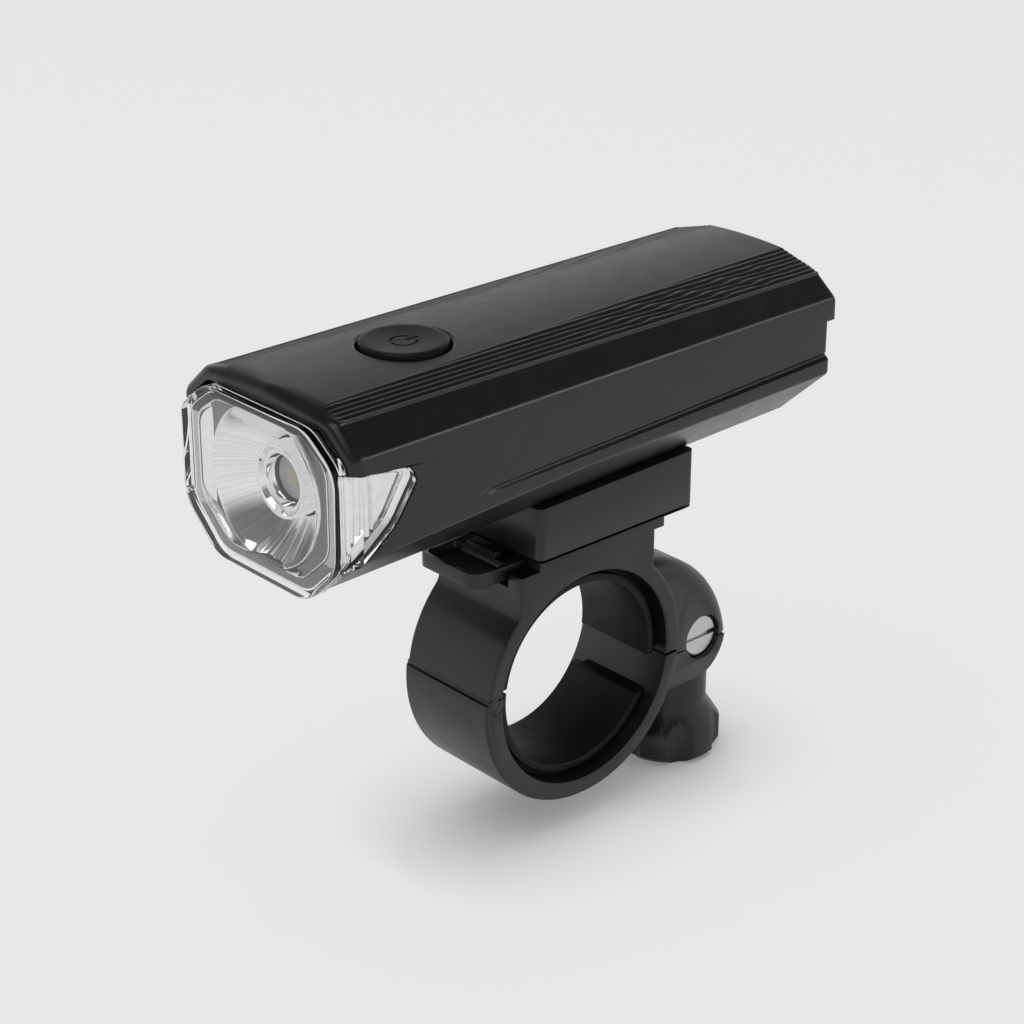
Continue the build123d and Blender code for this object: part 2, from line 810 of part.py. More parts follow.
def make_battery_cradle():
    y0 = cell_front - cradle_end_overlap - cradle_end_wall
    y1 = cell_rear + cradle_end_overlap + cradle_end_wall
    body = block(-cradle_half_width, cradle_half_width, y0, y1, cradle_floor_z, cradle_top_z)
    gap = cell_radius + cradle_clearance
    inner0 = y0 + cradle_end_wall
    inner1 = y1 - cradle_end_wall
    body -= rod_y(gap, inner0, inner1, 0, cell_z)
    pitch = (inner1 - inner0 + cradle_rib) / cradle_rib_count
    for i in range(cradle_rib_count):
        start = inner0 + pitch * i
        for side in (-1, 1):
            a = side * gap
            b = side * (cradle_half_width + overrun)
            pocket = block(min(a, b), max(a, b), start, start + pitch - cradle_rib, cradle_floor_z - overrun,
                           cradle_top_z + overrun)
            body -= pocket
    for side in (-1, 1):
        edge = Pos(side * cradle_half_width, (y0 + y1) / 2, cradle_floor_z) * Rot(0, 45, 0)
        body -= edge * Box(sqrt(2) * cradle_corner, 2 * (y1 - y0), sqrt(2) * cradle_corner)
    for i in (1, cradle_rib_count - 1):
        y = inner0 + pitch * i - cradle_rib / 2
        for side in (-1, 1):
            x = side * (cradle_half_width - cradle_post_half)
            body += block(x - cradle_post_half, x + cradle_post_half, y - cradle_post_half,
                          y + cradle_post_half, cradle_floor_z + cradle_corner, board_z - board_gap)
    return body - rod_y(gap, inner0, inner1, 0, cell_z)


def make_circuit_board():
    main = block(-board_half_width, board_half_width, board_front, board_rear, board_z, board_top)
    main = fillet(main.edges().filter_by(Axis.Z), cradle_post_half)
    tongue = block(-board_tongue_half, board_tongue_half, board_rear - overrun, board_tongue_rear, board_z,
                   board_top)
    return main + tongue


def make_tact_switch():
    base = block(-switch_half, switch_half, button_y - switch_half, button_y + switch_half, board_top,
                 board_top + switch_height)
    top = board_top + switch_height + switch_plunger_height
    return base + upright(switch_plunger_radius, board_top, top, 0, button_y)


def make_board_chips():
    """Driver and charger packages on the upper side of the circuit board."""
    length = board_rear - board_front
    chips = []
    for x_share, y_share, width_share, length_share, height_share in chip_shares:
        x = board_half_width * x_share
        y = board_front + length * y_share
        half_x = chip_size * width_share / 2
        half_y = chip_size * length_share / 2
        top = board_top + chip_size * height_share
        chips.append(block(x - half_x, x + half_x, y - half_y, y + half_y, board_top, top))
    return Compound(children=chips)


def make_usb_socket():
    y1 = housing_rear - usb_mouth_gap
    top = board_z - board_gap
    shell = block(-usb_half_width, usb_half_width, y1 - usb_depth, y1, top - usb_height, top)
    shell = fillet(shell.edges().filter_by(Axis.Y), usb_height / 3)
    hollow = block(-usb_half_width + usb_wall, usb_half_width - usb_wall, y1 - usb_depth + usb_wall,
                   y1 + overrun, top - usb_height + usb_wall, top - usb_wall)
    return shell - hollow


def make_housing_seal():
    """Soft strip that lies inside the seam between cover and housing, open at the lens."""
    outer_x = head_half_width - housing_wall - seal_gap
    y0 = window_tip_y + overrun
    y1 = cover_rear - cover_overhang - housing_wall - 2 * seal_gap
    z0 = seam_z - seal_height / 2
    z1 = seam_z + seal_height / 2
    frame = block(-outer_x, outer_x, y0, y1, z0, z1)
    inner_x = outer_x - seal_width
    return frame - block(-inner_x, inner_x, y0 - overrun, y1 - seal_width, z0 - overrun, z1 + overrun)


def flat_screw(radius, head_radius, head_height, z_head, z_tip, x, y):
    """Screw with a flat round head at z_head, its point up at z_tip, and a cross slot."""
    screw = upright(radius, z_head, z_tip, x, y)
    screw += upright(head_radius, z_head, z_head + head_height, x, y)
    long = head_radius / 2
    thin = driver_slot_half
    low = z_head - overrun
    screw -= block(x - long, x + long, y - thin, y + thin, low, z_head + driver_slot_depth)
    screw -= block(x - thin, x + thin, y - long, y + long, low, z_head + driver_slot_depth)
    return screw


def make_housing_screws():
    screws = []
    for x in (-boss_x, boss_x):
        for y in (boss_front_y, boss_rear_y):
            z_head = bottom_z(y) + driver_slot_depth - screw_clearance
            z_tip = boss_split_z + housing_screw_grip
            screws.append(flat_screw(housing_screw_radius, housing_screw_head_radius,
                                     housing_screw_head_height, z_head, z_tip, x, y))
    return Compound(children=screws)


# Power button

def make_power_button():
    crown = cover_profile(button_y)[1]
    top = crown + button_proud
    cap = upright(button_radius, top - button_cap_height, top, 0, button_y)
    cap = fillet(cap.faces().sort_by(Axis.Z)[-1].edges(), button_round)
    flange_top = cover_under(button_flange_radius, button_y) - button_flange_gap
    flange = upright(button_flange_radius, flange_top - button_flange_height, flange_top, 0, button_y)
    neck = upright(button_radius, flange_top - button_flange_height, top - button_round, 0, button_y)
    switch_top = board_top + switch_height + switch_plunger_height
    stem_low = switch_top + button_travel + button_flange_gap
    stem = upright(button_stem_radius, min(stem_low, flange_top - button_flange_height),
                   flange_top, 0, button_y)
    body = cap + neck + flange + stem
    return body - power_symbol(top)


def power_symbol(top):
    """Engraved broken ring with an upright bar in its gap."""
    low = top - symbol_depth
    ring = upright(symbol_radius + symbol_width / 2, low, top + overrun, 0, button_y)
    ring -= upright(symbol_radius - symbol_width / 2, low - overrun, top + 2 * overrun, 0, button_y)
    reach = 2 * symbol_radius
    spread = reach * sin(radians(symbol_gap_angle / 2))
    wedge = make_face(Polyline((0, 0), (spread, reach), (-spread, reach), close=True).edges())
    ring -= Pos(0, button_y, low - overrun) * extrude(wedge, amount=symbol_depth + 4 * overrun)
    half = symbol_width / 2
    y1 = button_y + symbol_radius + symbol_width
    bar = block(-half, half, y1 - symbol_bar, y1, low, top + overrun)
    return ring + bar


def make_button_seal():
    z1 = cover_under(button_seal_radius, button_y) - 3 * button_flange_gap
    x_gap = button_flange_radius + button_gap
    ring = upright(button_seal_radius, z1 - button_seal_height, z1, 0, button_y)
    return ring - upright(x_gap, z1 - 2 * overrun, z1 + overrun, 0, button_y)


# Charging flap

def make_usb_cover():
    low = flap_bead_z + flap_gap
    plate = block(-flap_half_width, flap_half_width, flap_front, flap_rear, low, flap_top_z)
    plate = fillet(plate.edges().filter_by(Axis.Y).group_by(Axis.Z)[-1], flap_round)
    bead = rod_x(flap_bead_radius, flap_bead_half, flap_bead_y, flap_bead_z)
    root = block(-flap_bead_half, flap_bead_half, flap_bead_y, flap_rear, low, low + flap_bead_radius)
    mid = board_z - board_gap - usb_height / 2
    plug = block(-flap_plug_half, flap_plug_half, flap_front - flap_plug_depth, flap_front,
                 mid - flap_plug_half_height, mid + flap_plug_half_height)
    return plate + bead + root + plug


# Rail shoe

def shoe_screw_places():
    """Y of the two screws that hold the shoe to the housing."""
    return [shoe_front + shoe_length * share for share in (shoe_screw_front_share, shoe_screw_rear_share)]


def make_rail_shoe():
    top_front = bottom_z(shoe_front) - shoe_top_gap
    top_rear = bottom_z(shoe_rear) - shoe_top_gap
    outline = Polyline((shoe_front, shoe_bottom), (shoe_rear, shoe_bottom), (shoe_rear, top_rear),
                       (shoe_front, top_front), close=True)
    body = side_prism(make_face(outline.edges()), shoe_half_width)
    body = fillet(body.edges().filter_by(Axis.Z), shoe_round)
    body = fillet(body.faces().sort_by(Axis.Z)[0].edges(), shoe_edge_round)
    neck_half = rail_neck_half + rail_clearance
    head_half = rail_head_half + rail_clearance
    stop = rail_front - rail_clearance
    rear = shoe_rear + overrun
    body -= block(-neck_half, neck_half, stop, rear, shoe_bottom - overrun, rail_top)
    body -= block(-head_half, head_half, stop, rear, rail_neck_top - rail_clearance,
                  rail_top + rail_clearance)
    for y in shoe_screw_places():
        roof = rail_top + rail_clearance
        body -= upright(shoe_screw_radius + screw_clearance, roof - overrun, bottom_z(y) + overrun, 0, y)
        head_top = roof + shoe_screw_head_height + driver_slot_depth
        body -= upright(shoe_screw_head_radius + screw_clearance, roof - overrun, head_top, 0, y)
    return body


def make_shoe_screws():
    screws = []
    for y in shoe_screw_places():
        z_head = rail_top + rail_clearance + driver_slot_depth - screw_clearance
        screws.append(flat_screw(shoe_screw_radius, shoe_screw_head_radius, shoe_screw_head_height,
                                 z_head, bottom_z(y) + housing_wall, 0, y))
    return Compound(children=screws)


# Bar clamp

def disc(radius, y=0, z=0):
    """Round side-view face."""
    return Pos(y, z) * Circle(radius)


def rect(y0, y1, z0, z1):
    """Upright side-view rectangle."""
    return Pos((y0 + y1) / 2, (z0 + z1) / 2) * Rectangle(y1 - y0, z1 - z0)


def hinge_hook_face():
    """Lip of the upper half that reaches under the hinge bead from inside."""
    seat = hinge_bead_radius + hinge_clearance
    lip = disc(seat + hinge_hook_wall, hinge_y, hinge_height) - disc(seat, hinge_y, hinge_height)
    room = disc(ring_outer) - disc(ring_inner)
    keep = rect(hinge_y + hinge_stem_gap, 0, hinge_height - ring_wall, hinge_height + front_seam_gap)
    return lip & room & keep


def upper_side_face():
    """Side view of the ring's upper half with its neck."""
    top = 2 * plate_top
    body = disc(ring_outer) & (rect(-ring_outer, 0, hinge_height + front_seam_gap, top)
                               + rect(-clamp_edge_round, ring_outer, rear_seam_z, top))
    body += rect(neck_front, neck_rear, 0, plate_top)
    body += rect(neck_front, plate_rear, plate_top - plate_lip, plate_top)
    body -= disc(ring_inner)
    return body


def upper_lug():
    """Domed lug at the rear of the upper half."""
    start = (lug_top_start_y, lug_top_start_z)
    rear = (lug_top_rear_y, lug_seam_z)
    top = ThreePointArc(start, (lug_top_mid_y, lug_top_mid_z), rear)
    rest = Polyline(rear, (lug_top_start_y, lug_seam_z), start)
    body = side_prism(make_face(rest.edges() + [top]), lug_half_width)
    crest = body.edges().filter_by(GeomType.CIRCLE)
    return fillet(crest, lug_top_round)


def recess_frame():
    """Place and tilt of the round recess on the lug's dome."""
    arc = ThreePointArc((lug_top_start_y, lug_top_start_z), (lug_top_mid_y, lug_top_mid_z),
                        (lug_top_rear_y, lug_seam_z))
    at = arc @ 0.5
    centre = arc.arc_center
    normal = (at - centre).normalized()
    return Plane((0, at.X, at.Y), x_dir=(1, 0, 0), z_dir=(0, normal.X, normal.Y))


def make_upper_clamp():
    body = side_prism(upper_side_face(), clamp_half_width)
    front_edge = [e for e in body.edges().filter_by(Axis.X)
                  if abs(e.center().Y - neck_front) < clamp_edge_round
                  and e.center().Z < plate_top - plate_lip]
    body = fillet(front_edge, neck_fillet)
    sides = body.faces().sort_by(Axis.X)
    body = fillet(sides[0].edges() + sides[-1].edges(), clamp_edge_round)
    body += upper_lug() - rod_x(ring_outer - ring_wall / 2, clamp_half_width, 0, 0)
    seam_reach = ring_outer + rear_seam_gap
    seam = disc(seam_reach) & rect(0, seam_reach, lug_seam_z - overrun, rear_seam_z)
    body -= side_prism(seam, clamp_half_width + overrun)
    body += side_prism(hinge_hook_face(), clamp_half_width)
    body -= rod_x(hinge_bead_radius + hinge_clearance, clamp_half_width + overrun, hinge_y, hinge_height)
    body -= rod_x(barrel_radius + barrel_clearance, lug_half_width + overrun, barrel_y, barrel_z)
    slot = bolt_radius + bolt_slot_clearance
    body -= block(-slot, slot, barrel_y - slot, lug_top_rear_y + overrun, lug_seam_z - overrun,
                  barrel_z + swing_slot_rise)
    frame = recess_frame()
    hole = Cylinder(recess_radius, 2 * recess_depth)
    plug = Pos(0, 0, -recess_depth / 2 - recess_disc_sink) * Cylinder(recess_disc_radius, recess_depth)
    body -= frame * hole
    body += frame * plug
    body += block(-rail_neck_half, rail_neck_half, rail_front, plate_rear, plate_top - plate_lip,
                  rail_neck_top)
    body += block(-rail_head_half, rail_head_half, rail_front, plate_rear, rail_neck_top, rail_top)
    body -= lever_room()
    return body


def lever_room():
    """Space in the neck for the release lever and its downward swing."""
    half = lever_half_width + lever_slot_gap
    low = lever_top - lever_thickness - lever_clearance
    drop = (lever_pivot_y - neck_front) * sin(radians(lever_drop)) + lever_clearance
    points = [(lever_pivot_y, plate_top + overrun), (lever_pivot_y, low), (neck_front, low - drop),
              (neck_front - overrun, low - drop), (neck_front - overrun, plate_top + overrun)]
    room = side_prism(make_face(Polyline(*points, close=True).edges()), half)
    pivot_z = lever_top - lever_thickness / 2
    room += rod_x(lever_pivot_radius + lever_clearance, half, lever_pivot_y, pivot_z)
    for side in (-1, 1):
        a = side * lever_half_width
        b = side * (clamp_half_width + overrun)
        room += block(min(a, b), max(a, b), neck_front - overrun, neck_front + plate_pocket_length,
                      plate_top - plate_pocket_depth, plate_top + overrun)
    return room


def make_release_lever():
    low = lever_top - lever_thickness
    lip_top = lever_top + lever_lip_height
    points = [(lever_pivot_y, low), (lever_pivot_y, lever_top),
              (lever_front + 2 * lever_lip_length, lever_top), (lever_front, lip_top),
              (lever_front, low + lever_lip_height), (lever_front + lever_lip_length, low)]
    body = side_prism(make_face(Polyline(*points, close=True).edges()), lever_half_width)
    corners = body.edges().filter_by(Axis.Z).group_by(Axis.Y)[0]
    body = fillet(corners, lever_corner_round)
    body += rod_x(lever_pivot_radius, lever_half_width, lever_pivot_y, lever_top - lever_thickness / 2)
    tooth_rear = shoe_front - latch_gap
    body += block(-lever_half_width / 2, lever_half_width / 2, tooth_rear - latch_length, tooth_rear,
                  lever_top - lever_dish_depth, plate_top + latch_height)
    dish_z = lever_top + lever_dish_radius - lever_dish_depth
    dish_y = lever_front + 2 * lever_lip_length
    dish = Pos(0, dish_y, dish_z) * Sphere(lever_dish_radius)
    return body - (dish & block(-lever_half_width, lever_half_width, lever_front, tooth_rear - latch_length,
                                low, dish_z))


def lower_side_face():
    """Side view of the ring's lower half, a little proud of the upper half at the hinge."""
    room = rect(-2 * ring_outer, 0, -2 * ring_outer, hinge_height)
    room += rect(-clamp_edge_round, 2 * ring_outer, -2 * ring_outer, rear_seam_z - rear_seam_gap)
    shell = disc(ring_outer) & room
    shell += disc(ring_outer, -jaw_proud) & rect(-2 * ring_outer, 0, -2 * ring_outer, hinge_height)
    shell -= disc(ring_inner)
    seat = hinge_bead_radius + hinge_clearance + hinge_hook_wall + hinge_stem_gap
    shell -= disc(seat, hinge_y, hinge_height) & rect(hinge_y, 0, -ring_inner, ring_inner)
    shell += disc(hinge_bead_radius, hinge_y, hinge_height)
    stem = rect(hinge_y - hinge_inset - jaw_proud, hinge_y, hinge_height - ring_wall, hinge_height)
    shell += stem & disc(ring_outer, -jaw_proud)
    return shell


def lower_lug():
    """Forked lug under the cross barrel; the washer bears on its flat underside."""
    top = lug_seam_z - rear_seam_gap
    rear = (barrel_y + lug_rear_reach, top)
    foot = (barrel_y, lug_bottom_z)
    waist = (barrel_y + lug_rear_waist, barrel_z - (lug_bottom_drop + lug_seam_drop) / 2 - rear_seam_gap)
    arc = ThreePointArc(rear, waist, foot)
    rest = Polyline(foot, (0, lug_bottom_z), (0, top), rear)
    body = side_prism(make_face(rest.edges() + [arc]), lug_half_width)
    return body - rod_x(ring_outer - ring_wall / 2, clamp_half_width, 0, 0)


def make_lower_clamp():
    body = side_prism(lower_side_face(), clamp_half_width)
    rim = [e for e in body.edges().filter_by(GeomType.CIRCLE) if e.radius > ring_outer - overrun / 2]
    body = fillet(rim, clamp_edge_round)
    lug = lower_lug()
    body += lug & block(-lug_half_width, lug_half_width, ring_inner, 2 * barrel_y, 2 * lug_bottom_z, 0)
    body -= rod_x(barrel_radius + 2 * barrel_clearance, lug_half_width + overrun, barrel_y, barrel_z)
    slot = bolt_radius + bolt_slot_clearance
    body -= block(-slot, slot, barrel_y - 2 * slot, 2 * barrel_y, 2 * lug_bottom_z, 0)
    return body


def liner(z_keep):
    """Rubber liner between bar and ring, kept where z_keep allows."""
    outer = ring_inner - liner_seat_clearance
    return side_prism((disc(outer) - disc(liner_inner)) & z_keep, clamp_half_width - liner_side_inset)


def make_upper_liner():
    keep = rect(-ring_outer, 0, hinge_height + front_seam_gap, ring_outer)
    keep += rect(-clamp_edge_round, ring_outer, rear_seam_z, ring_outer)
    return liner(keep)


def make_lower_liner():
    short = lug_bottom_drop - lug_seam_drop
    keep = rect(-ring_outer, 0, -ring_outer, hinge_height - front_seam_gap)
    keep += rect(-clamp_edge_round, ring_outer, -ring_outer, rear_seam_z - short)
    return liner(keep)


# Swing bolt and thumb knob

def make_pivot_barrel():
    body = rod_x(barrel_radius, barrel_half_length, barrel_y, barrel_z)
    body = chamfer(body.edges().filter_by(GeomType.CIRCLE), bolt_end_chamfer)
    hole = bolt_radius + thread_clearance
    return body - upright(hole, barrel_z - barrel_radius - overrun, barrel_z, 0, barrel_y)


def make_clamp_bolt():
    low = knob_bottom + knob_floor + bolt_end_gap
    body = upright(bolt_radius, low, barrel_z - thread_clearance, 0, barrel_y)
    return chamfer(body.faces().sort_by(Axis.Z)[0].edges(), bolt_end_chamfer)


def make_knob_washer():
    ring = upright(washer_radius, washer_bottom, washer_top, 0, barrel_y)
    return ring - upright(bolt_radius + 2 * thread_clearance, washer_bottom - overrun, washer_top + overrun,
                          0, barrel_y)


def make_thumb_knob():
    collar = upright(knob_collar_radius, knob_cone_top, knob_top)
    cone_mid = (knob_cone_top + knob_lobe_top) / 2
    cone = Pos(0, 0, cone_mid) * Cone(knob_lobe_radius, knob_collar_radius, knob_cone_height)
    lobes = upright(knob_lobe_radius, knob_bottom, knob_lobe_top)
    rim = [e for e in lobes.edges().filter_by(GeomType.CIRCLE) if e.center().Z < knob_bottom + overrun]
    lobes = chamfer(rim, knob_round)
    body = collar + cone + lobes
    for i in range(knob_lobe_count):
        angle = 2 * pi * (i + 1 / 2) / knob_lobe_count
        x = knob_scallop_offset * cos(angle)
        y = knob_scallop_offset * sin(angle)
        body -= upright(knob_scallop_radius, knob_bottom - overrun, knob_cone_top, x, y)
    body -= upright(bolt_radius + knob_bore_clearance, knob_bottom + knob_floor, knob_top + overrun)
    body -= insert_prism(insert_clearance)
    return Pos(0, barrel_y, 0) * body


def insert_prism(grow):
    """Hexagonal room of the threaded insert, about the knob's axis."""
    corner = (insert_flat_radius + grow) / cos(pi / 6)
    z0 = knob_bottom + knob_floor
    face = Pos(0, 0, z0) * RegularPolygon(corner, 6)
    return extrude(face, amount=insert_height + grow)


def make_knob_insert():
    body = insert_prism(0)
    body -= upright(bolt_radius + thread_clearance, knob_bottom, knob_top)
    return Pos(0, barrel_y, 0) * body


NODES = {
    "top_cover": make_top_cover,
    "lower_housing": make_lower_housing,
    "front_lens": make_front_lens,
    "lens_gasket": make_lens_gasket,
    "reflector": make_reflector,
    "led_board": make_led_board,
    "led_emitter": make_led_emitter,
    "led_ring": make_led_ring,
    "heat_plate": make_heat_plate,
    "battery_cell": make_battery_cell,
    "battery_contacts": make_battery_contacts,
    "battery_cradle": make_battery_cradle,
    "circuit_board": make_circuit_board,
    "tact_switch": make_tact_switch,
    "board_chips": make_board_chips,
    "usb_socket": make_usb_socket,
    "housing_seal": make_housing_seal,
    "housing_screws": make_housing_screws,
    "power_button": make_power_button,
    "button_seal": make_button_seal,
    "usb_cover": make_usb_cover,
    "rail_shoe": make_rail_shoe,
    "shoe_screws": make_shoe_screws,
    "upper_clamp": make_upper_clamp,
    "upper_liner": make_upper_liner,
    "release_lever": make_release_lever,
    "lower_clamp": make_lower_clamp,
    "lower_liner": make_lower_liner,
    "pivot_barrel": make_pivot_barrel,
    "clamp_bolt": make_clamp_bolt,
    "knob_washer": make_knob_washer,
    "thumb_knob": make_thumb_knob,
    "knob_insert": make_knob_insert,
}

os.makedirs("parts", exist_ok=True)
for node, make in NODES.items():
    export_step(make(), f"parts/{node}.step")
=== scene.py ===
"""Looks of the bike headlight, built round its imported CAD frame.

Lengths below are millimetres in the CAD frame and become metres where a mesh is made.
+X runs along the handlebar, -Y is the way the beam points and +Z is up.
"""

from math import cos, hypot, pi, radians, sin, tan

import bpy
import bmesh
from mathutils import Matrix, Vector


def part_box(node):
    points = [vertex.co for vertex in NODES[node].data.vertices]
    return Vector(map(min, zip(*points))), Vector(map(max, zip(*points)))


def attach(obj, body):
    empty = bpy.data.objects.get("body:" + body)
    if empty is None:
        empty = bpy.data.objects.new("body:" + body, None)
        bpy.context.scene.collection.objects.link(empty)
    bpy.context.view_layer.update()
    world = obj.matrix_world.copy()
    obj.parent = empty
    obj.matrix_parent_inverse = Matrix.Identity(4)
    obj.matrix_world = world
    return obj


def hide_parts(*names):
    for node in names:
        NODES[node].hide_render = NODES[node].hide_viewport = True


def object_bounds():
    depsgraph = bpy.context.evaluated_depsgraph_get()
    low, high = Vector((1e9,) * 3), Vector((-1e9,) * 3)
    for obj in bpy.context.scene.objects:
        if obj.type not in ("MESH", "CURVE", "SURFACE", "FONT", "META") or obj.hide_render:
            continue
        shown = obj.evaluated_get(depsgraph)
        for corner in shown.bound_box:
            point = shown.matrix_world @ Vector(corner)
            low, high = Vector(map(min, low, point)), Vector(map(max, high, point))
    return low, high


MM = 0.001
SIDES = ((-1, "left"), (1, "right"))

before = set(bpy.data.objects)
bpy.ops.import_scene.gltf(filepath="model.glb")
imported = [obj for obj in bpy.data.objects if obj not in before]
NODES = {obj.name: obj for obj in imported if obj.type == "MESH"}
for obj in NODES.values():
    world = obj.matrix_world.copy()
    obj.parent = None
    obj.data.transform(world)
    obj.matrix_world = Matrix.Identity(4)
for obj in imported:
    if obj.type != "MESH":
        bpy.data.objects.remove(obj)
cad_low, cad_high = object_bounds()


def box_mm(node):
    """Lowest and highest corner of a CAD node, in millimetres."""
    low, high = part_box(node)
    return low / MM, high / MM


# Places read from the frame
COVER_LOW, COVER_HIGH = box_mm("top_cover")
HOUSING_LOW, HOUSING_HIGH = box_mm("lower_housing")
BUTTON_LOW, BUTTON_HIGH = box_mm("power_button")
LENS_LOW = box_mm("front_lens")[0]
FLAP_HIGH = box_mm("usb_cover")[1]

# Mesh making: angles in degrees between smooth faces, and lengths that keep shapes sound
SHARP = 30.0
BUTTON_SHARP = 35.0
COVER_SHARP = 14.0
HOUSING_SHARP = 38.0
BOWL_SHARP = 40.0
CAD_FLAT_ANGLE = 0.4
BEVEL_ANGLE = 42.0
WELD = 0.0005
CAD_WELD = 0.001
AXIS_GAP = 0.0004
LEAST_ROUND = 0.05
ROUND_SHARE = 0.48  # most of a side that one arc may take
CURVE_SHARE = 0.45
NEARLY_STRAIGHT = 1.5
TINY = 1e-9
PAST = 1.0  # how far a cutting shape runs past what it cuts
CORNER_STEPS = 8
SEGMENTS = 120

# Surface grain, in waves per metre and millimetres of depth
GRAIN_SCALE = 7000.0
BRUSH_SCALE = 2500.0
GRAIN_DEPTH = 0.003

# Lamp head
HEAD_HALF = COVER_HIGH.x
COVER_FRONT = COVER_LOW.y
COVER_REAR = COVER_HIGH.y
HOUSING_FRONT = HOUSING_LOW.y
HOUSING_REAR = HOUSING_HIGH.y
HOUSING_TOP = HOUSING_HIGH.z + 0.04
SEAM_Z = HOUSING_TOP + 0.03
SEAM_SLOPE = 0.105
SEAM_SLOPE_Y = -44.0
RIDGE_Z = 56.8
TAIL_ROUND = 0.8
TAIL_STEPS = 9
LIP_STEPS = 10
INNER_ROUND = 0.3
INNER_STEPS = 3
INSIDE_STEPS = 40

# Top cover; a pair is (at the front, at the rear)
RIDGE_REAR_RISE = 0.3
CREST_INSET = (4.8, 4.1)
CREST_RISE = (4.2, 3.4)
STEP_WIDTH = 0.5
STEP_DROP = 0.06
CROWN_Z = (62.4, 63.08)
CROWN_FALL = (0.35, 0.3)
CROWN_DROP = 0.5
CROWN_DROP_X = 10.5
FACET_WIDTH = (4.0, 7.8)
COVER_WALL = 1.9
COVER_REAR_WALL = 2.0
LIP_ROUND = 1.3
LIP_DEPTH = 2.0
LIP_BLEND = 3.6
LIP_CREST_RISE = 0.35
LIP_CREST_ROUND = 3.4
LIP_RIDGE_ROUND = 2.6
RIDGE_ROUND = 1.4
CREST_ROUND = 0.22
BEAD_WIDTH = 0.1
BEAD_DROP = 0.42
BEAD_ROUND = 0.03
CROWN_STEPS = 12
COVER_STEPS = 190

# Inside of the top cover
ROOF_Z = (60.0, 61.2)
ROOF_HALF = 13.6
ROOF_FALL = 0.25
ROOF_ROUND = 4.0
INSIDE_RIDGE_DROP = 1.2
INSIDE_RIDGE_ROUND = 3.0
COVER_SIDE_WALL = 1.5

# Openings at the rear of the top cover
FLAP_GAP = 0.15
SOCKET_HALF = 4.7
SOCKET_TOP = 58.4
SOCKET_REACH = 4.0

# Shingled ribs on the facets, and their waves as (height in rib pitches, length, shift per rib)
RIB_COUNT = 9
RIB_PITCH = 0.95
RIB_LEDGE_SHARE = 0.38
RIB_SPARE = 0.004
LEDGE_SWAY = 0.3
LEDGE_LAG = 3.0
WAVE_RIBS = 5
WAVES = ((0.17, 9.5, 1.7), (0.1, 4.6, 2.9))
WAVE_START_Y = -16.0
WAVE_FADE_IN = 30.0
WAVE_FADE_OUT = 12.0

# Lower housing
WAIST_Y = -10.0
CORNER_FRONT_Z = 41.2
CORNER_WAIST_Z = 43.6
CORNER_REAR_Z = 44.4
BOTTOM_FRONT_Z = HOUSING_LOW.z
BOTTOM_REAR_Z = 35.4
BOTTOM_HALF = 10.2
HOUSING_WALL = 2.0
HOUSING_LIP = 0.5
HOUSING_ROUND = 0.9
HOUSING_STEPS = 80
INSIDE_CORNER_RISE = 0.8
INSIDE_FLOOR_INSET = 0.7
RELIEF_Y = -31.4
RELIEF_Z = (45.3, 47.3)
RELIEF_DEPTH = 0.7
RELIEF_ROUND = 0.15
GROOVE_DEPTH = 0.4
GROOVE_MOUTH_HALF = 0.56
GROOVE_FLOOR_HALF = 0.14
GROOVE_ROUND = 0.2
GROOVE_FADE = 2.5
GROOVE_REAR_LOSS = 0.5
SCREW_RADIUS = 1.9
SCREW_HOLE_RADIUS = 1.95
SCREW_HOLE_TOP = BOTTOM_REAR_Z + 3
FLAP_ROOT_RADIUS = 0.75
FLAP_ROOT_Z = 50.4
FLAP_ROOT_HALF = 6.15

# Side window of the lens, seen from the side as (y, z, corner radius)
WINDOW_FRONT_Y = LENS_LOW.y + 0.4
WINDOW_TIP_Y = LENS_LOW.y + 13.8
WINDOW_TOP = HOUSING_TOP - 0.04
WINDOW_FRONT_TOP = WINDOW_TOP + SEAM_SLOPE * (SEAM_SLOPE_Y - WINDOW_FRONT_Y)
WINDOW_CORNERS = [(WINDOW_FRONT_Y, WINDOW_FRONT_TOP, LEAST_ROUND), (WINDOW_FRONT_Y, WINDOW_TOP - 13.9, 0.4),
                  (WINDOW_TIP_Y - 10.2, WINDOW_TOP - 12.7, 3.5),
                  (WINDOW_TIP_Y - 4.0, WINDOW_TOP - 8.0, 8.0),
                  (WINDOW_TIP_Y, WINDOW_TOP - 2.1, 1.3), (WINDOW_TIP_Y - 1.5, WINDOW_TOP + 0.03, 0.9)]
WINDOW_GAP = 0.12
OPENING_AHEAD = 3.0
OPENING_ABOVE = 5.0
OPENING_LEAN = 0.1
WINDOW_SPAN = (36.0, 58.0)  # heights that take in the window, and then the whole head
HEAD_SPAN = (30.0, 70.0)

# Lens cup, seen from the front as (x, z, corner radius), right half from the top down
LENS_HALF = [(11.8, 59.9, 6.0), (18.2, 55.2, 5.0), (18.2, 40.2, 6.5), (10.6, 32.9, 6.0)]
CAVITY_HALF = [(10.4, 58.1, 5.0), (15.4, 54.6, 4.0), (15.4, 41.3, 5.0), (8.8, 35.3, 5.0)]
LENS_FRONT = LENS_LOW.y
LENS_PLATE = 2.0
LENS_ROUND = 0.5
LENS_REAR = HOUSING_FRONT - 0.15
LENS_WALL = 1.0
PANE_THICKNESS = 2.0
PANE_ROUND = 0.4
# Slanted cut at the front corner of a pane, seen from above as (x, y)
PANE_CUT = ((18.15, -56.1), (20, -53.4), (21, -53.4), (21, -58), (17.5, -58), (17.5, -56.1))

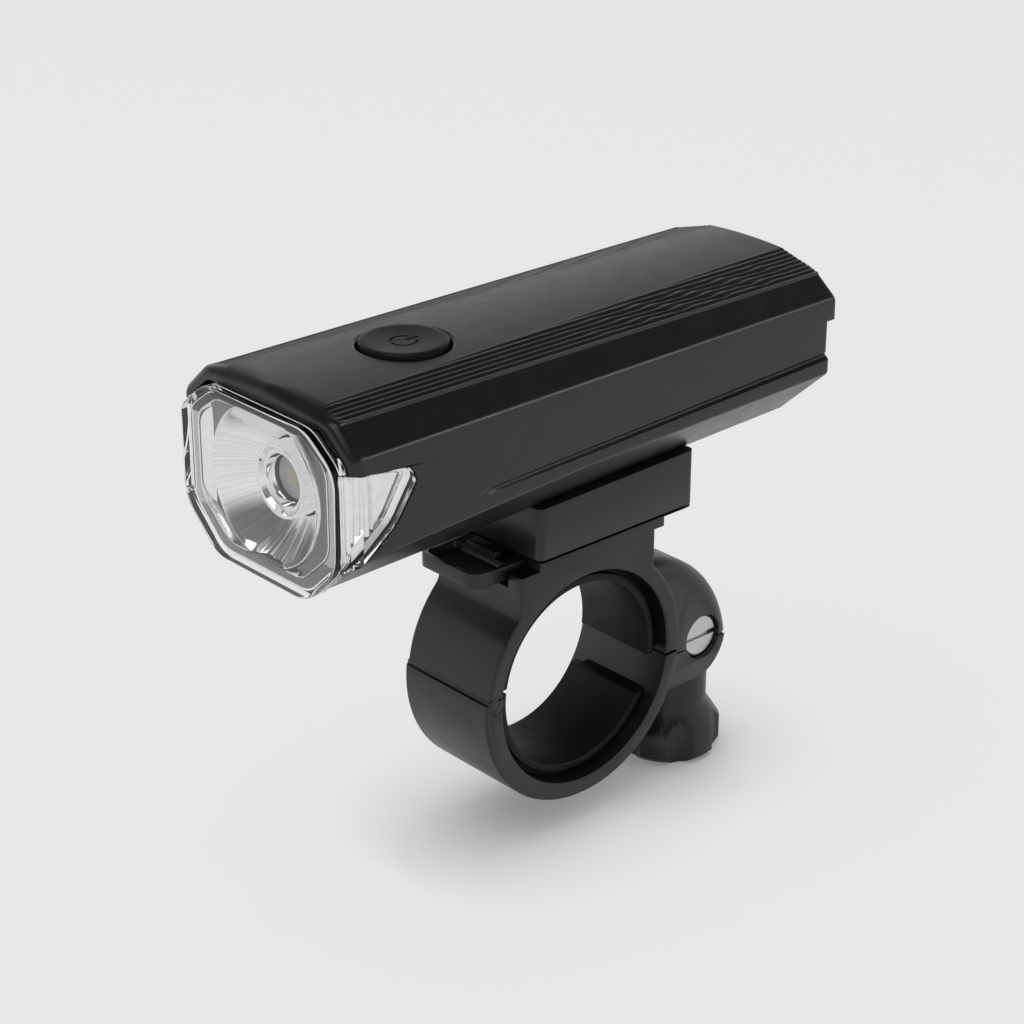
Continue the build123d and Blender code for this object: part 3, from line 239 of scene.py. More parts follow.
# Bowl of the reflector; its rim is (out from the bowl, back from its edge)
BEAM_Z = 47.1
BEAM_CENTRE = (0, 0, BEAM_Z)
BOWL_RADIUS = 12.1
BOWL_RIM_Y = -54.6
BOWL_RIM = ((0.06, -0.06), (0.16, -0.06), (0.35, 0.3))
BOWL_FOCUS = 4.1
BOWL_HOLE = 6.3
BOWL_WALL = 1.0
BOWL_BACK_Y = -40.0
BOWL_INSET = 0.3
BOWL_STEPS = 22
BOWL_SEGMENTS = 240
FLUTES_FROM, FLUTES_TO = 241, 337  # degrees about the beam, from +X towards +Z
BOWL_FLUTES = 6
BOWL_FLUTE_DEPTH = 0.5
BOWL_RIM_GAP = 0.02

# Plate round the bowl; its edge and the cheeks' plan are (inset from the cavity, y)
TRAY_FRONT = -54.85
TRAY_PLATE_Y = -53.7
TRAY_BACK = TRAY_PLATE_Y + 0.8
TRAY_EDGE = ((0.2, TRAY_BACK), (0.2, TRAY_FRONT), (0.3, TRAY_FRONT - 0.08), (0.4, TRAY_FRONT),
             (0.6, TRAY_PLATE_Y))
TRAY_HOLE = BOWL_RADIUS + 0.36
# A face that points forward this much and lies within this band in front of the plate takes the dark chrome
# of the painted reflection
PLATE_FACING = 0.95
PLATE_BAND = 0.1
CHEEK_PLAN = ((0.5, TRAY_FRONT + 0.05), (0.5, TRAY_PLATE_Y - 0.02), (2.3, TRAY_PLATE_Y - 0.02))
CHEEK_CLEARANCE = 0.62

# Ring behind the cup's rim; its section is (inset, y), round its outer and then its inner edge
BEHIND_PLATE = LENS_FRONT + LENS_PLATE + 0.12
SEAT_BACK = BEHIND_PLATE + 0.9
SEAT_GAP = 0.15
SEAT_OUTER = ((0.0, SEAT_BACK), (0.0, BEHIND_PLATE + 0.3), (0.3, BEHIND_PLATE))
SEAT_INNER = ((-0.25, BEHIND_PLATE), (0.0, BEHIND_PLATE + 0.15), (0.0, SEAT_BACK))
SEAT_NOTCH_X = (16.2, 19.0)
SEAT_NOTCH_Z = (40.0, 54.9)
SEAT_LIP_Z = 54.4

# Plates behind the side windows; depths are measured in from the plate's place
WING_X = 17.15
WING_FLUTES = 4
FLUTE_PITCH = 1.15
FLUTE_HEIGHT = 0.5
FLUTE_ROOT = 0.55
FLUTE_BACK = 0.9
FLUTE_STEPS = 12
WING_FACE = 0.1
WING_BACK = 0.48
WING_INSET = 0.45
WING_STEP_FRONT, WING_STEP_BACK = 0.25, 0.3
FRAME_START = LENS_REAR + 0.1
FRAME_RAISE_FROM = WINDOW_TOP - 0.1
FRAME_RAISE = 2.5
# Bevelled frame as (out from the plate, inset from the window's edge)
FRAME_SECTION = ((-1.5, 0.3), (0.6, 0.3), (0.1, 1.1), (-0.9, 1.5))

# Light source; the collar's section is (radius, y)
COLLAR_SECTION = ((6.2, -47.3), (5.95, -48.0), (5.85, -51.6), (5.7, -51.85), (5.45, -51.9), (5.2, -51.75),
                  (4.75, -50.9), (4.6, -50.85), (4.5, -51.1), (4.3, -51.2), (4.1, -51.05), (3.8, -49.95),
                  (3.65, -49.8), (3.6, -48.4), (3.6, -46.8), (6.2, -46.8))
DOME_RADIUS = 3.5
DOME_Y = -49.0
DOME_RISE = 0.8
DOME_FOOT_Y = -48.6
DOME_STEPS = 10
LED_BASE_Y = (-48.4, -46.6)
CHIP_HALF = 1.2
CHIP_ROUND = 0.15
CHIP_Y = (-48.57, -48.35)

# Button; its hole is (wider than the hole, depth) and its cap (radius, depth under the top)
BUTTON_Y = (BUTTON_LOW.y + BUTTON_HIGH.y) / 2
BUTTON_TOP = BUTTON_HIGH.z
BUTTON_HOLE = 7.2
BUTTON_HOLE_EDGE = ((0.0, 5.0), (0.0, 0.55), (0.06, 0.3), (0.2, 0.12), (0.45, 0.0), (0.8, -1.0))
BUTTON_CAP = ((0, 0.32), (2.5, 0.28), (4.5, 0.16), (5.7, 0.02), (6.2, 0), (6.55, 0.06), (6.8, 0.22),
              (6.8, 0.6), (6.85, 0.9), (6.85, 2.4), (0, 2.4))
SYMBOL_RADIUS = 2.0
SYMBOL_HALF_WIDTH = 0.21
SYMBOL_BASE = 0.46
SYMBOL_GAP = 32
SYMBOL_STEPS = 40
SYMBOL_BAR = (0.4, 2.8)

# Clamp, shoe, liners and lever
CLAMP_BEVEL = 0.22
KNOB_BEVEL = 0.35
LINER_BEVEL = 0.3
LEVER_BEVEL = 0.25
SHOE_SEAM_DEPTH = 0.8
SHOE_SEAM_Z = (0.25, 0.75)
LINER_GROOVE = 1.4
LINER_GROOVE_RADII = (17.2, 19.5)
LEVER_RIM = 0.8
POCKET_HALF = 5.8
POCKET_REAR_Y = -14.2
POCKET_FRONT_ROUND = 2.0
POCKET_REAR_ROUND = 0.8
POCKET_FLOOR_Z = 22.5
# Wall of the lever's pocket as (inset, above its floor)
POCKET_WALL = ((0.7, 0.0), (0.3, 0.12), (0.0, 0.7), (-0.2, 4.5))

# Cross barrel; its edge is (in from the side, in from the end)
BARREL_HALF = 7.3
BARREL_EDGE = ((0.5, 0.0), (0.1, 0.25), (0.0, 0.6))
BARREL_SEGMENTS = 72
BARREL_SLOT_HALF = 0.45
BARREL_SLOT_REACH = 5.0
BARREL_SLOT_DEPTH = 0.9

# Photo camera, fitted to the object's right angles
CAMERA_TARGET = (0.0, -7.44, 28.45)
CAMERA_AZIMUTH = 47.86
CAMERA_ELEVATION = 24.48
CAMERA_DISTANCE = 396.31
CAMERA_LENS = 87.89

# Floor and walls; the walls are (height on the unit sphere, grey)
FLOOR_SHADOW_REACH = 22.0
FLOOR_GREY = 0.80
FLOOR_CONTACT = 0.20
FLOOR_GLOW = 0.73
FLOOR_WASH = 0.16
WALL_GREYS = ((0.0, 0.86), (0.25, 0.84), (0.38, 0.65), (0.48, 0.38), (0.58, 0.12), (0.64, 0.06),
              (0.70, 0.085), (0.78, 0.06), (1.0, 0.05))

# Floor and lights, in metres and watts
FLOOR_HALF = 2.5
FLOOR_GAP = 0.0002
LIGHT_TARGET = (0, 0, 0.03)
# A light is its place, size and power
OVERHEAD_LIGHT = ((0.0, -0.36, 1.42), 1.1, 7.0)
EDGE_LIGHT = ((1.0, 0.97, 0.84), 0.35, 2.5)


def lerp(a, b, share):
    return a + (b - a) * share


def clamp01(value):
    return max(0.0, min(1.0, value))


def smooth(value):
    value = clamp01(value)
    return value * value * (3 - 2 * value)


# Material helpers


def new_material(name):
    """Material, its tree and its shader."""
    material = bpy.data.materials.new(name)
    material.use_nodes = True
    tree = material.node_tree
    return material, tree, tree.nodes["Principled BSDF"]


def feed(node, inputs):
    """Give inputs of a node a number, a colour or another node's output."""
    for name, value in inputs.items():
        if isinstance(value, bpy.types.NodeSocket):
            node.id_data.links.new(value, node.inputs[name])
        else:
            node.inputs[name].default_value = value
    return node


def add_node(tree, kind, inputs=None):
    return feed(tree.nodes.new("ShaderNode" + kind), inputs or {})


def math_node(tree, operation, first, second):
    node = add_node(tree, "Math", {0: first, 1: second})
    node.operation = operation
    return node.outputs["Value"]


def grey(value, tint=(1, 1, 1)):
    return tuple(value * t for t in tint) + (1,)


def noise(tree, scale, detail=3.0, roughness=0.5, stretch=None):
    """Noise in object space; scale is in waves per metre."""
    place = add_node(tree, "TexCoord").outputs["Object"]
    if stretch:
        place = add_node(tree, "Mapping", {"Vector": place, "Scale": stretch}).outputs["Vector"]
    texture = add_node(tree, "TexNoise", {"Vector": place, "Scale": scale, "Detail": detail,
                                          "Roughness": roughness})
    return texture.outputs["Fac"]


def ramp(tree, factor, low, high, low_at=0.3, high_at=0.7):
    """Greys or colours between two shares of a factor."""
    node = add_node(tree, "ValToRGB", {"Fac": factor})
    for stop, colour, at in zip(node.color_ramp.elements, (low, high), (low_at, high_at)):
        stop.position = at
        stop.color = colour if hasattr(colour, "__len__") else grey(colour)
    return node.outputs["Color"]


def bump(tree, height, strength, distance):
    """Normal for a height, with its distance in millimetres."""
    inputs = {"Height": height, "Strength": strength, "Distance": distance * MM}
    return add_node(tree, "Bump", inputs).outputs["Normal"]


def moulded(name, shade, rough_low, rough_high, specular=0.5, marks=160.0, tint=(1, 1, 1)):
    """Moulded plastic or rubber: fine spark-eroded grain, soft blotches and rubbed patches."""
    material, tree, shader = new_material(name)
    blotch = noise(tree, marks, detail=4.0)
    rubbed = noise(tree, marks * 1.7, detail=5.0, roughness=0.6)
    grain = noise(tree, GRAIN_SCALE, detail=2.0, roughness=0.6)
    feed(shader, {"Base Color": ramp(tree, blotch, grey(shade * 0.85, tint), grey(shade * 1.2, tint)),
                  "Roughness": ramp(tree, rubbed, rough_low, rough_high),
                  "Specular IOR Level": specular,
                  "Normal": bump(tree, grain, 0.3, GRAIN_DEPTH)})
    return material


def metal(name, colour, rough_low, rough_high, stretch=(1, 1, 1)):
    """Metal with a fine brushed or turned grain."""
    material, tree, shader = new_material(name)
    grain = noise(tree, BRUSH_SCALE, stretch=stretch)
    feed(shader, {"Metallic": 1.0,
                  "Base Color": ramp(tree, grain, grey(0.85, colour), grey(1.0, colour)),
                  "Roughness": ramp(tree, grain, rough_low, rough_high),
                  "Normal": bump(tree, grain, 0.2, GRAIN_DEPTH)})
    return material


def clear_plastic(name, wave_depth=0.012):
    """Clear polycarbonate with a faint moulded wave on its surface."""
    material, tree, shader = new_material(name)
    feed(shader, {"Base Color": (0.965, 0.968, 0.975, 1),
                  "Transmission Weight": 1.0,
                  "IOR": 1.38,
                  "Roughness": ramp(tree, noise(tree, 900.0), 0.01, 0.03),
                  "Normal": bump(tree, noise(tree, 240.0, detail=2.0), 0.12, wave_depth)})
    return material


def plated(name, shade=0.92, rough_low=0.04, rough_high=0.11):
    """Vacuum-plated plastic: bright, with faint clouding."""
    material, tree, shader = new_material(name)
    cloud = noise(tree, 700.0, detail=4.0)
    feed(shader, {"Metallic": 1.0,
                  "Base Color": ramp(tree, cloud, grey(shade * 0.92), grey(shade)),
                  "Roughness": ramp(tree, noise(tree, 500.0), rough_low, rough_high),
                  "Normal": bump(tree, noise(tree, 420.0, detail=2.0), 0.15, 0.01)})
    return material


def streaked_chrome(name):
    """Plating of the bowl, with fine streaks that run out from the beam axis."""
    material, tree, shader = new_material(name)
    parts = add_node(tree, "SeparateXYZ", {"Vector": add_node(tree, "TexCoord").outputs["Object"]})
    rise = math_node(tree, "SUBTRACT", parts.outputs["Z"], BEAM_Z * MM)
    streak = tree.nodes.new("ShaderNodeTexNoise")
    streak.noise_dimensions = "1D"
    feed(streak, {"W": math_node(tree, "ARCTAN2", rise, parts.outputs["X"]),
                  "Scale": 26.0, "Detail": 4.0, "Roughness": 0.65})
    streaks = streak.outputs["Fac"]
    feed(shader, {"Metallic": 1.0,
                  "Base Color": ramp(tree, streaks, grey(0.80), grey(0.95), 0.35, 0.6),
                  "Roughness": ramp(tree, streaks, 0.05, 0.12),
                  "Normal": bump(tree, streaks, 0.25, 0.03)})
    return material


def phosphor(name):
    """Yellow phosphor chip, slightly grainy."""
    material, tree, shader = new_material(name)
    grain = noise(tree, 1500.0, detail=4.0)
    feed(shader, {"Base Color": ramp(tree, grain, (0.80, 0.74, 0.42, 1), (0.93, 0.90, 0.62, 1)),
                  "Roughness": 0.4})
    return material


# Materials: shade or colour, then the lowest and highest roughness
COVER_PLASTIC = moulded("cover_plastic", 0.0085, 0.27, 0.34)
HOUSING_PLASTIC = moulded("housing_plastic", 0.0085, 0.30, 0.38)
BRACKET_PLASTIC = moulded("bracket_plastic", 0.009, 0.32, 0.42, marks=120.0)
KNOB_PLASTIC = moulded("knob_plastic", 0.008, 0.32, 0.42, marks=120.0)
BUTTON_RUBBER = moulded("button_rubber", 0.009, 0.38, 0.46, specular=0.2, marks=250.0)
SOFT_RUBBER = moulded("soft_rubber", 0.010, 0.5, 0.62, specular=0.35, marks=300.0)
LINER_RUBBER = moulded("liner_rubber", 0.009, 0.5, 0.6, specular=0.22, marks=200.0)
INNER_PLASTIC = moulded("inner_plastic", 0.03, 0.4, 0.5)
WHITE_PLASTIC = moulded("white_plastic", 0.7, 0.35, 0.45)
CHIP_BLACK = moulded("chip_black", 0.02, 0.4, 0.5)
BOARD_GREEN = moulded("board_green", 0.12, 0.25, 0.35, tint=(0.25, 1.0, 0.45))
CELL_WRAP = moulded("cell_wrap", 0.25, 0.25, 0.35, tint=(0.2, 0.5, 1.0))
BLACK_STEEL = metal("black_steel", (0.05, 0.05, 0.05), 0.3, 0.45)
ZINC_STEEL = metal("zinc_steel", (0.62, 0.62, 0.62), 0.25, 0.42, stretch=(0.15, 1, 1))
NICKEL = metal("nickel_strip", (0.66, 0.63, 0.58), 0.25, 0.4)
BRASS = metal("brass_insert", (0.72, 0.5, 0.22), 0.25, 0.4)
BOARD_METAL = metal("board_aluminium", (0.7, 0.71, 0.72), 0.3, 0.45)
CLEAR = clear_plastic("clear_lens")
DOME_CLEAR = clear_plastic("led_dome", 0.0)
CHROME = plated("chrome_plate")
BOWL_CHROME = streaked_chrome("bowl_chrome")
# Chrome darkened as a painted reflection of dark surroundings, for the plate round the bowl and the seat's
# bottom
PAINTED_DARK_CHROME = plated("chrome_corner", 0.17, 0.10, 0.2)
# Chrome dimmed as a painted reflection, for the sides of the seat behind the cup's rim
PAINTED_DIM_CHROME = plated("chrome_seat", 0.5, 0.12, 0.2)
PHOSPHOR = phosphor("emitter")

MATERIAL_NODES = {
    COVER_PLASTIC: "top_cover", HOUSING_PLASTIC: "lower_housing", CLEAR: "front_lens",
    CHROME: "reflector led_ring", PHOSPHOR: "led_emitter", BOARD_METAL: "led_board heat_plate",
    CELL_WRAP: "battery_cell", NICKEL: "battery_contacts usb_socket", BOARD_GREEN: "circuit_board",
    INNER_PLASTIC: "battery_cradle tact_switch", CHIP_BLACK: "board_chips", BRASS: "knob_insert",
    SOFT_RUBBER: "lens_gasket housing_seal button_seal usb_cover", BUTTON_RUBBER: "power_button",
    LINER_RUBBER: "upper_liner lower_liner", KNOB_PLASTIC: "thumb_knob", BLACK_STEEL: "housing_screws",
    BRACKET_PLASTIC: "rail_shoe upper_clamp release_lever lower_clamp",
    ZINC_STEEL: "shoe_screws pivot_barrel clamp_bolt knob_washer",
}

for material, nodes in MATERIAL_NODES.items():
    for node in nodes.split():
        mesh = NODES[node].data
        mesh.materials.clear()
        mesh.materials.append(material)


# Mesh helpers

def finish_mesh(mesh, sharp):
    """Merge doubles, point the faces outwards and smooth all but the sharp edges."""
    work = bmesh.new()
    work.from_mesh(mesh)
    bmesh.ops.remove_doubles(work, verts=work.verts, dist=WELD * MM)
    bmesh.ops.recalc_face_normals(work, faces=work.faces)
    work.to_mesh(mesh)
    work.free()
    mesh.shade_smooth()
    mesh.set_sharp_from_angle(angle=radians(sharp))


def new_object(name, data):
    made = bpy.data.objects.new(name, data)
    bpy.context.scene.collection.objects.link(made)
    return made


def add_object(name, points, faces, sharp=SHARP):
    """Linked mesh object from points in millimetres."""
    mesh = bpy.data.meshes.new(name)
    mesh.from_pydata([Vector(p) * MM for p in points], [], faces)
    mesh.validate()
    finish_mesh(mesh, sharp)
    return new_object(name, mesh)


def dress(piece, material, body, node):
    """Give a piece its finish and the body it rides on, and hide the CAD node it stands for."""
    piece.data.materials.append(material)
    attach(piece, body)
    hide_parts(node)
    return piece


def make_piece(name, shape, material, body, node, sharp=SHARP):
    """Visible piece from (points, faces)."""
    return dress(add_object(name, *shape, sharp), material, body, node)


def bake_modifiers(piece, sharp):
    """Put the result of the piece's modifiers into its mesh."""
    view = bpy.context.evaluated_depsgraph_get()
    result = bpy.data.meshes.new_from_object(piece.evaluated_get(view))
    piece.modifiers.clear()
    old = piece.data
    name = old.name
    piece.data = result
    bpy.data.meshes.remove(old)
    result.name = name
    finish_mesh(result, sharp)


def combine(piece, shape, operation="DIFFERENCE", sharp=SHARP):
    """Boolean of the piece with a closed shape."""
    tool = add_object("tool", *shape)
    change = piece.modifiers.new("combine", "BOOLEAN")
    change.operation = operation
    change.solver = "EXACT"
    change.object = tool
    bake_modifiers(piece, sharp)
    bpy.data.objects.remove(tool)


def loft(rings, cap_start=True, cap_end=True, closed=True):
    """Points and faces between rings with the same number of points each."""
    n = len(rings[0])
    points = [p for ring in rings for p in ring]
    faces = []
    for r in range(len(rings) - 1):
        for i in range(n if closed else n - 1):
            a, b = r * n + i, r * n + (i + 1) % n
            faces.append((a, b, b + n, a + n))
    if cap_start:
        faces.append(tuple(range(n)))
    if cap_end:
        faces.append(tuple(range((len(rings) - 1) * n, len(rings) * n)))
    return points, faces


def tube(rings):
    """Rings in a closed run, the last joined to the first."""
    return loft(rings + rings[:1], cap_start=False, cap_end=False)


def lathe(profile, count, centre, axis="Y", shift=None):
    """Closed profile of (radius, height) turned about an axis through the centre, Y or Z."""
    rings = []
    for i in range(count):
        angle = 2 * pi * i / count
        ring = []
        for radius, height in profile:
            height += shift(radius, angle) if shift else 0
            u, v = radius * cos(angle), radius * sin(angle)
            ring.append((centre[0] + u, height, centre[2] + v) if axis == "Y"
                        else (centre[0] + u, centre[1] + v, height))
        rings.append(ring)
    return tube(rings)


def solid_lathe(profile, count, centre, axis="Y"):
    """Profile from axis to axis, turned; the ends are pulled to a hair's breadth of the axis."""
    return lathe([(max(r, AXIS_GAP), h) for r, h in profile], count, centre, axis)


def prism(outline, place, low, high):
    """Solid that extrudes a 2D outline; place(u, v, w) gives the point at depth w."""
    return loft([[place(u, v, w) for u, v in outline] for w in (low, high)])


def along_x(u, v, w):
    return (w, u, v)


def along_y(u, v, w):
    return (u, w, v)


def along_z(u, v, w):
    return (u, v, w)


def circle(radius, count, u=0.0, v=0.0):
    turns = [2 * pi * i / count for i in range(count)]
    return [(u + radius * cos(t), v + radius * sin(t)) for t in turns]


def rectangle(u0, u1, v0, v1):
    return [(u0, v0), (u1, v0), (u1, v1), (u0, v1)]


def corner_frame(corners, i):
    """A corner with the directions of the sides before and after it."""
    before, at, after = corners[i - 1], corners[i], corners[(i + 1) % len(corners)]
    into = Vector((at[0] - before[0], at[1] - before[1]))
    out = Vector((after[0] - at[0], after[1] - at[1]))
    return at, into, out


def shrunk(corners, distance):
    """Closed counter-clockwise run of (u, v, radius) corners, moved inwards by a distance."""
    moved = []
    for i in range(len(corners)):
        at, into, out = corner_frame(corners, i)
        a, b = into.normalized(), out.normalized()
        side = Vector((-a.y - b.y, a.x + b.x))
        reach = distance / (1 + a.dot(b))
        turn = 1 if a.cross(b) > 0 else -1
        radius = max(at[2] - turn * distance, LEAST_ROUND)
        moved.append((at[0] + side.x * reach, at[1] + side.y * reach, radius))
    return moved


def arc_loop(corners, steps=CORNER_STEPS):
    """Points of a closed run of corners, each rounded by an arc of its radius."""
    points = []
    for i in range(len(corners)):
        at, into, out = corner_frame(corners, i)
        turn = into.angle_signed(out) * -1
        half = abs(tan(turn / 2))
        reach = min(at[2] * half, ROUND_SHARE * into.length, ROUND_SHARE * out.length)
        radius = reach / max(half, TINY)
        a = into.normalized()
        start = Vector(at[:2]) - a * reach
        side = Vector((-a.y, a.x)) * (1 if turn > 0 else -1)
        centre = start + side * radius
        arm = start - centre
        for k in range(steps + 1):
            angle = turn * k / steps
            points.append((centre.x + arm.x * cos(angle) - arm.y * sin(angle),
                           centre.y + arm.x * sin(angle) + arm.y * cos(angle)))
    return points


def mirrored(half):
    """Closed run from its right half, given from the top down."""
    return list(reversed(half)) + [(-x, z, r) for x, z, r in half]


def rounded(corners, steps):
    """Open outline with its inner corners rounded; corners are (u, v, radius)."""
    points = [corners[0][:2]]
    for before, at, after in zip(corners, corners[1:], corners[2:]):
        p = Vector(at[:2])
        a = Vector(before[:2]) - p
        b = Vector(after[:2]) - p
        half = a.angle(b) / 2
        reach = at[2] / tan(half) if half < NEARLY_STRAIGHT else LEAST_ROUND
        reach = min(reach, CURVE_SHARE * a.length, CURVE_SHARE * b.length)
        start = p + a.normalized() * reach
        end = p + b.normalized() * reach
        for i in range(steps + 1):
            t = i / steps
            q = start * (1 - t) ** 2 + p * 2 * t * (1 - t) + end * t ** 2
            points.append((q.x, q.y))
    points.append(corners[-1][:2])
    return points


def matched(outline, other):
    """Points on the other outline, one for each point of the outline, at the same share of its run."""
    def runs(points):
        total = [0.0]
        for p, q in zip(points, points[1:]):
            total.append(total[-1] + hypot(q[0] - p[0], q[1] - p[1]))
        return [t / total[-1] for t in total]
    marks = runs(other)
    found = []
    k = 0
    for share in runs(outline):
        while k < len(marks) - 2 and marks[k + 1] < share:
            k += 1
        part = clamp01((share - marks[k]) / max(marks[k + 1] - marks[k], TINY))
        p, q = other[k], other[k + 1]
        found.append((lerp(p[0], q[0], part), lerp(p[1], q[1], part)))
    return found


def quarter(steps):
    """(drawn in, set back) shares round a quarter turn, from along the wall to across it."""
    return [(1 - cos(pi / 2 * i / steps), 1 - sin(pi / 2 * i / steps)) for i in range(steps + 1)]


def shell(outside, inside, front, rear, wall, rear_wall, lip, lip_depth, steps):
    """Open-bottomed shell from rear to front and back along its inside, its lip and tail rounded.

    outside(y) and inside(y) are outlines from one seam to the other.
    """
    tail = TAIL_ROUND
    stations = [(rear - tail * back, tail * drawn / wall) for drawn, back in reversed(quarter(TAIL_STEPS))]
    stations += [(lerp(rear - tail, front + lip_depth, i / steps), 0.0) for i in range(1, steps)]
    stations += [(front + lip_depth * back, lip * drawn / wall) for drawn, back in quarter(LIP_STEPS)]
    stations += [(front + INNER_ROUND * back, 1 - INNER_ROUND / wall * (1 - drawn))
                 for back, drawn in quarter(INNER_STEPS)]
    stations += [(lerp(front + INNER_ROUND, rear - rear_wall, i / INSIDE_STEPS), 1.0)
                 for i in range(1, INSIDE_STEPS + 1)]
    rings = []
    for y, share in stations:
        outer = outside(y)
        inner = matched(outer, inside(y))
        rings.append([(lerp(p[0], q[0], share), y, lerp(p[1], q[1], share)) for p, q in zip(outer, inner)])
    points, faces = loft(rings, closed=False)
    n = len(rings[0])
    last = n * (len(rings) - 1)
    faces.append(tuple(range(0, last + 1, n)) + tuple(range(last + n - 1, 0, -n)))
    return points, faces


# Top cover

def along_cover(y):
    """Share of the way from the cover's front to its rear."""
    return (y - COVER_FRONT) / (COVER_REAR - COVER_FRONT)


def seam_rise(y):
    """Rise of the seam above its level run, in front of the window's tip."""
    return SEAM_SLOPE * max(0.0, SEAM_SLOPE_Y - y)


def wave(rib, y):
    """Sideways drift of the outer rib lines towards the rear, in rib pitches."""
    if rib > WAVE_RIBS:
        return 0.0
    fade = smooth((y - WAVE_START_Y) / WAVE_FADE_IN) * smooth((COVER_REAR - y) / WAVE_FADE_OUT)
    return fade * sum(height * sin(2 * pi * y / length + shift * rib) for height, length, shift in WAVES)


def rib_points(width, facet_z, step_x, step_z, y):
    """Terraced facet from its inner edge to the step: narrow ledges between longer falling walls."""
    def place(across, at):
        return step_x - across, lerp(step_z, facet_z, clamp01(at / width))
    points = []
    for rib in range(RIB_COUNT - 1, -1, -1):
        outer = (rib + (wave(rib, y) if rib else 0)) * RIB_PITCH
        inner = (rib + 1 + wave(rib + 1, y)) * RIB_PITCH
        ledge = lerp(inner, outer, RIB_LEDGE_SHARE + LEDGE_SWAY * wave(rib, y + LEDGE_LAG))
        spare = RIB_SPARE * rib
        points.append(place(min(inner, width - spare), min(inner, width)))
        points.append(place(min(ledge, width - spare - RIB_SPARE / 2), min(inner, width)))
    return points


def cover_half(y):
    """Right half of the cover's outside at y, from the crown down to the seam."""
    share = along_cover(y)
    ridge_z = RIDGE_Z + RIDGE_REAR_RISE * share
    crest_x = HEAD_HALF - lerp(*CREST_INSET, share)
    crest_z = ridge_z + lerp(*CREST_RISE, share)
    step_x = crest_x - STEP_WIDTH
    step_z = crest_z - STEP_DROP
    width = lerp(*FACET_WIDTH, share)
    crown = lerp(*CROWN_Z, share)
    facet_x = step_x - width
    facet_z = crown - lerp(*CROWN_FALL, share)
    seam = SEAM_Z + seam_rise(y)
    points = []
    for i in range(CROWN_STEPS):
        t = i / CROWN_STEPS
        points.append((facet_x * t, lerp(crown, facet_z, t * t)))
    points += rib_points(width, facet_z, step_x, step_z, y)
    points += rounded([(step_x, step_z, 0), (crest_x + BEAD_WIDTH, crest_z, CREST_ROUND),
                       (crest_x + 2 * BEAD_WIDTH, crest_z - BEAD_DROP, BEAD_ROUND),
                       (HEAD_HALF, ridge_z, RIDGE_ROUND), (HEAD_HALF, seam, 0)], 6)
    blend = smooth((y - COVER_FRONT) / LIP_BLEND)
    if blend < 1:
        bead = rounded([(0, crown, 0), (crest_x, crest_z + LIP_CREST_RISE, LIP_CREST_ROUND),
                        (HEAD_HALF, ridge_z, LIP_RIDGE_ROUND), (HEAD_HALF, seam, 0)], 14)
        points = [(lerp(q[0], p[0], blend), lerp(q[1], p[1], blend))
                  for p, q in zip(points, matched(points, bead))]
    return points


def over_the_top(half):
    """Outline from the left seam over the crown to the right seam."""
    return [(-x, z) for x, z in reversed(half[1:])] + half


def cover_outside(y):
    return over_the_top(cover_half(y))


def cover_inside(y):
    roof = lerp(*ROOF_Z, along_cover(y))
    side = HEAD_HALF - COVER_SIDE_WALL
    return over_the_top(rounded([(0, roof, 0), (ROOF_HALF, roof - ROOF_FALL, ROOF_ROUND),
                                 (side, RIDGE_Z - INSIDE_RIDGE_DROP, INSIDE_RIDGE_ROUND),
                                 (side, SEAM_Z + seam_rise(y), 0)], 8))


def crown_drop(x):
    """Fall of the cover's crown from its middle to x, at the button."""
    return CROWN_DROP * (x / CROWN_DROP_X) ** 2


def make_cover():
    """Top cover with its button hole and its rear openings."""
    shape = shell(cover_outside, cover_inside, COVER_FRONT, COVER_REAR, COVER_WALL, COVER_REAR_WALL,
                  LIP_ROUND, LIP_DEPTH, COVER_STEPS)
    cover = make_piece("cover_shell", shape, COVER_PLASTIC, "head", "top_cover", sharp=COVER_SHARP)
    crown = lerp(*CROWN_Z, along_cover(BUTTON_Y))
    hole = [[(x, y, crown - crown_drop(x) - depth)
             for x, y in circle(BUTTON_HOLE + wider, SEGMENTS, 0.0, BUTTON_Y)]
            for wider, depth in BUTTON_HOLE_EDGE]
    combine(cover, loft(hole), sharp=COVER_SHARP)
    for half, top, start in ((FLAP_HIGH.x + FLAP_GAP, FLAP_HIGH.z + FLAP_GAP, HOUSING_REAR),
                             (SOCKET_HALF, SOCKET_TOP, COVER_REAR - SOCKET_REACH)):
        room = rectangle(-half, half, SEAM_Z - PAST, top)
        combine(cover, prism(room, along_y, start, COVER_REAR + PAST), sharp=COVER_SHARP)


# Lower housing

def housing_heights(y):
    """Heights of the lower corner and of the underside at y."""
    if y < WAIST_Y:
        corner = lerp(CORNER_FRONT_Z, CORNER_WAIST_Z, (y - HOUSING_FRONT) / (WAIST_Y - HOUSING_FRONT))
    else:
        corner = lerp(CORNER_WAIST_Z, CORNER_REAR_Z, (y - WAIST_Y) / (HOUSING_REAR - WAIST_Y))
    share = (y - HOUSING_FRONT) / (HOUSING_REAR - HOUSING_FRONT)
    return corner, lerp(BOTTOM_FRONT_Z, BOTTOM_REAR_Z, share)


def under_the_bottom(half):
    """Outline from the right seam under the housing to the left seam."""
    return half + [(-x, z) for x, z in reversed(half[:-1])]


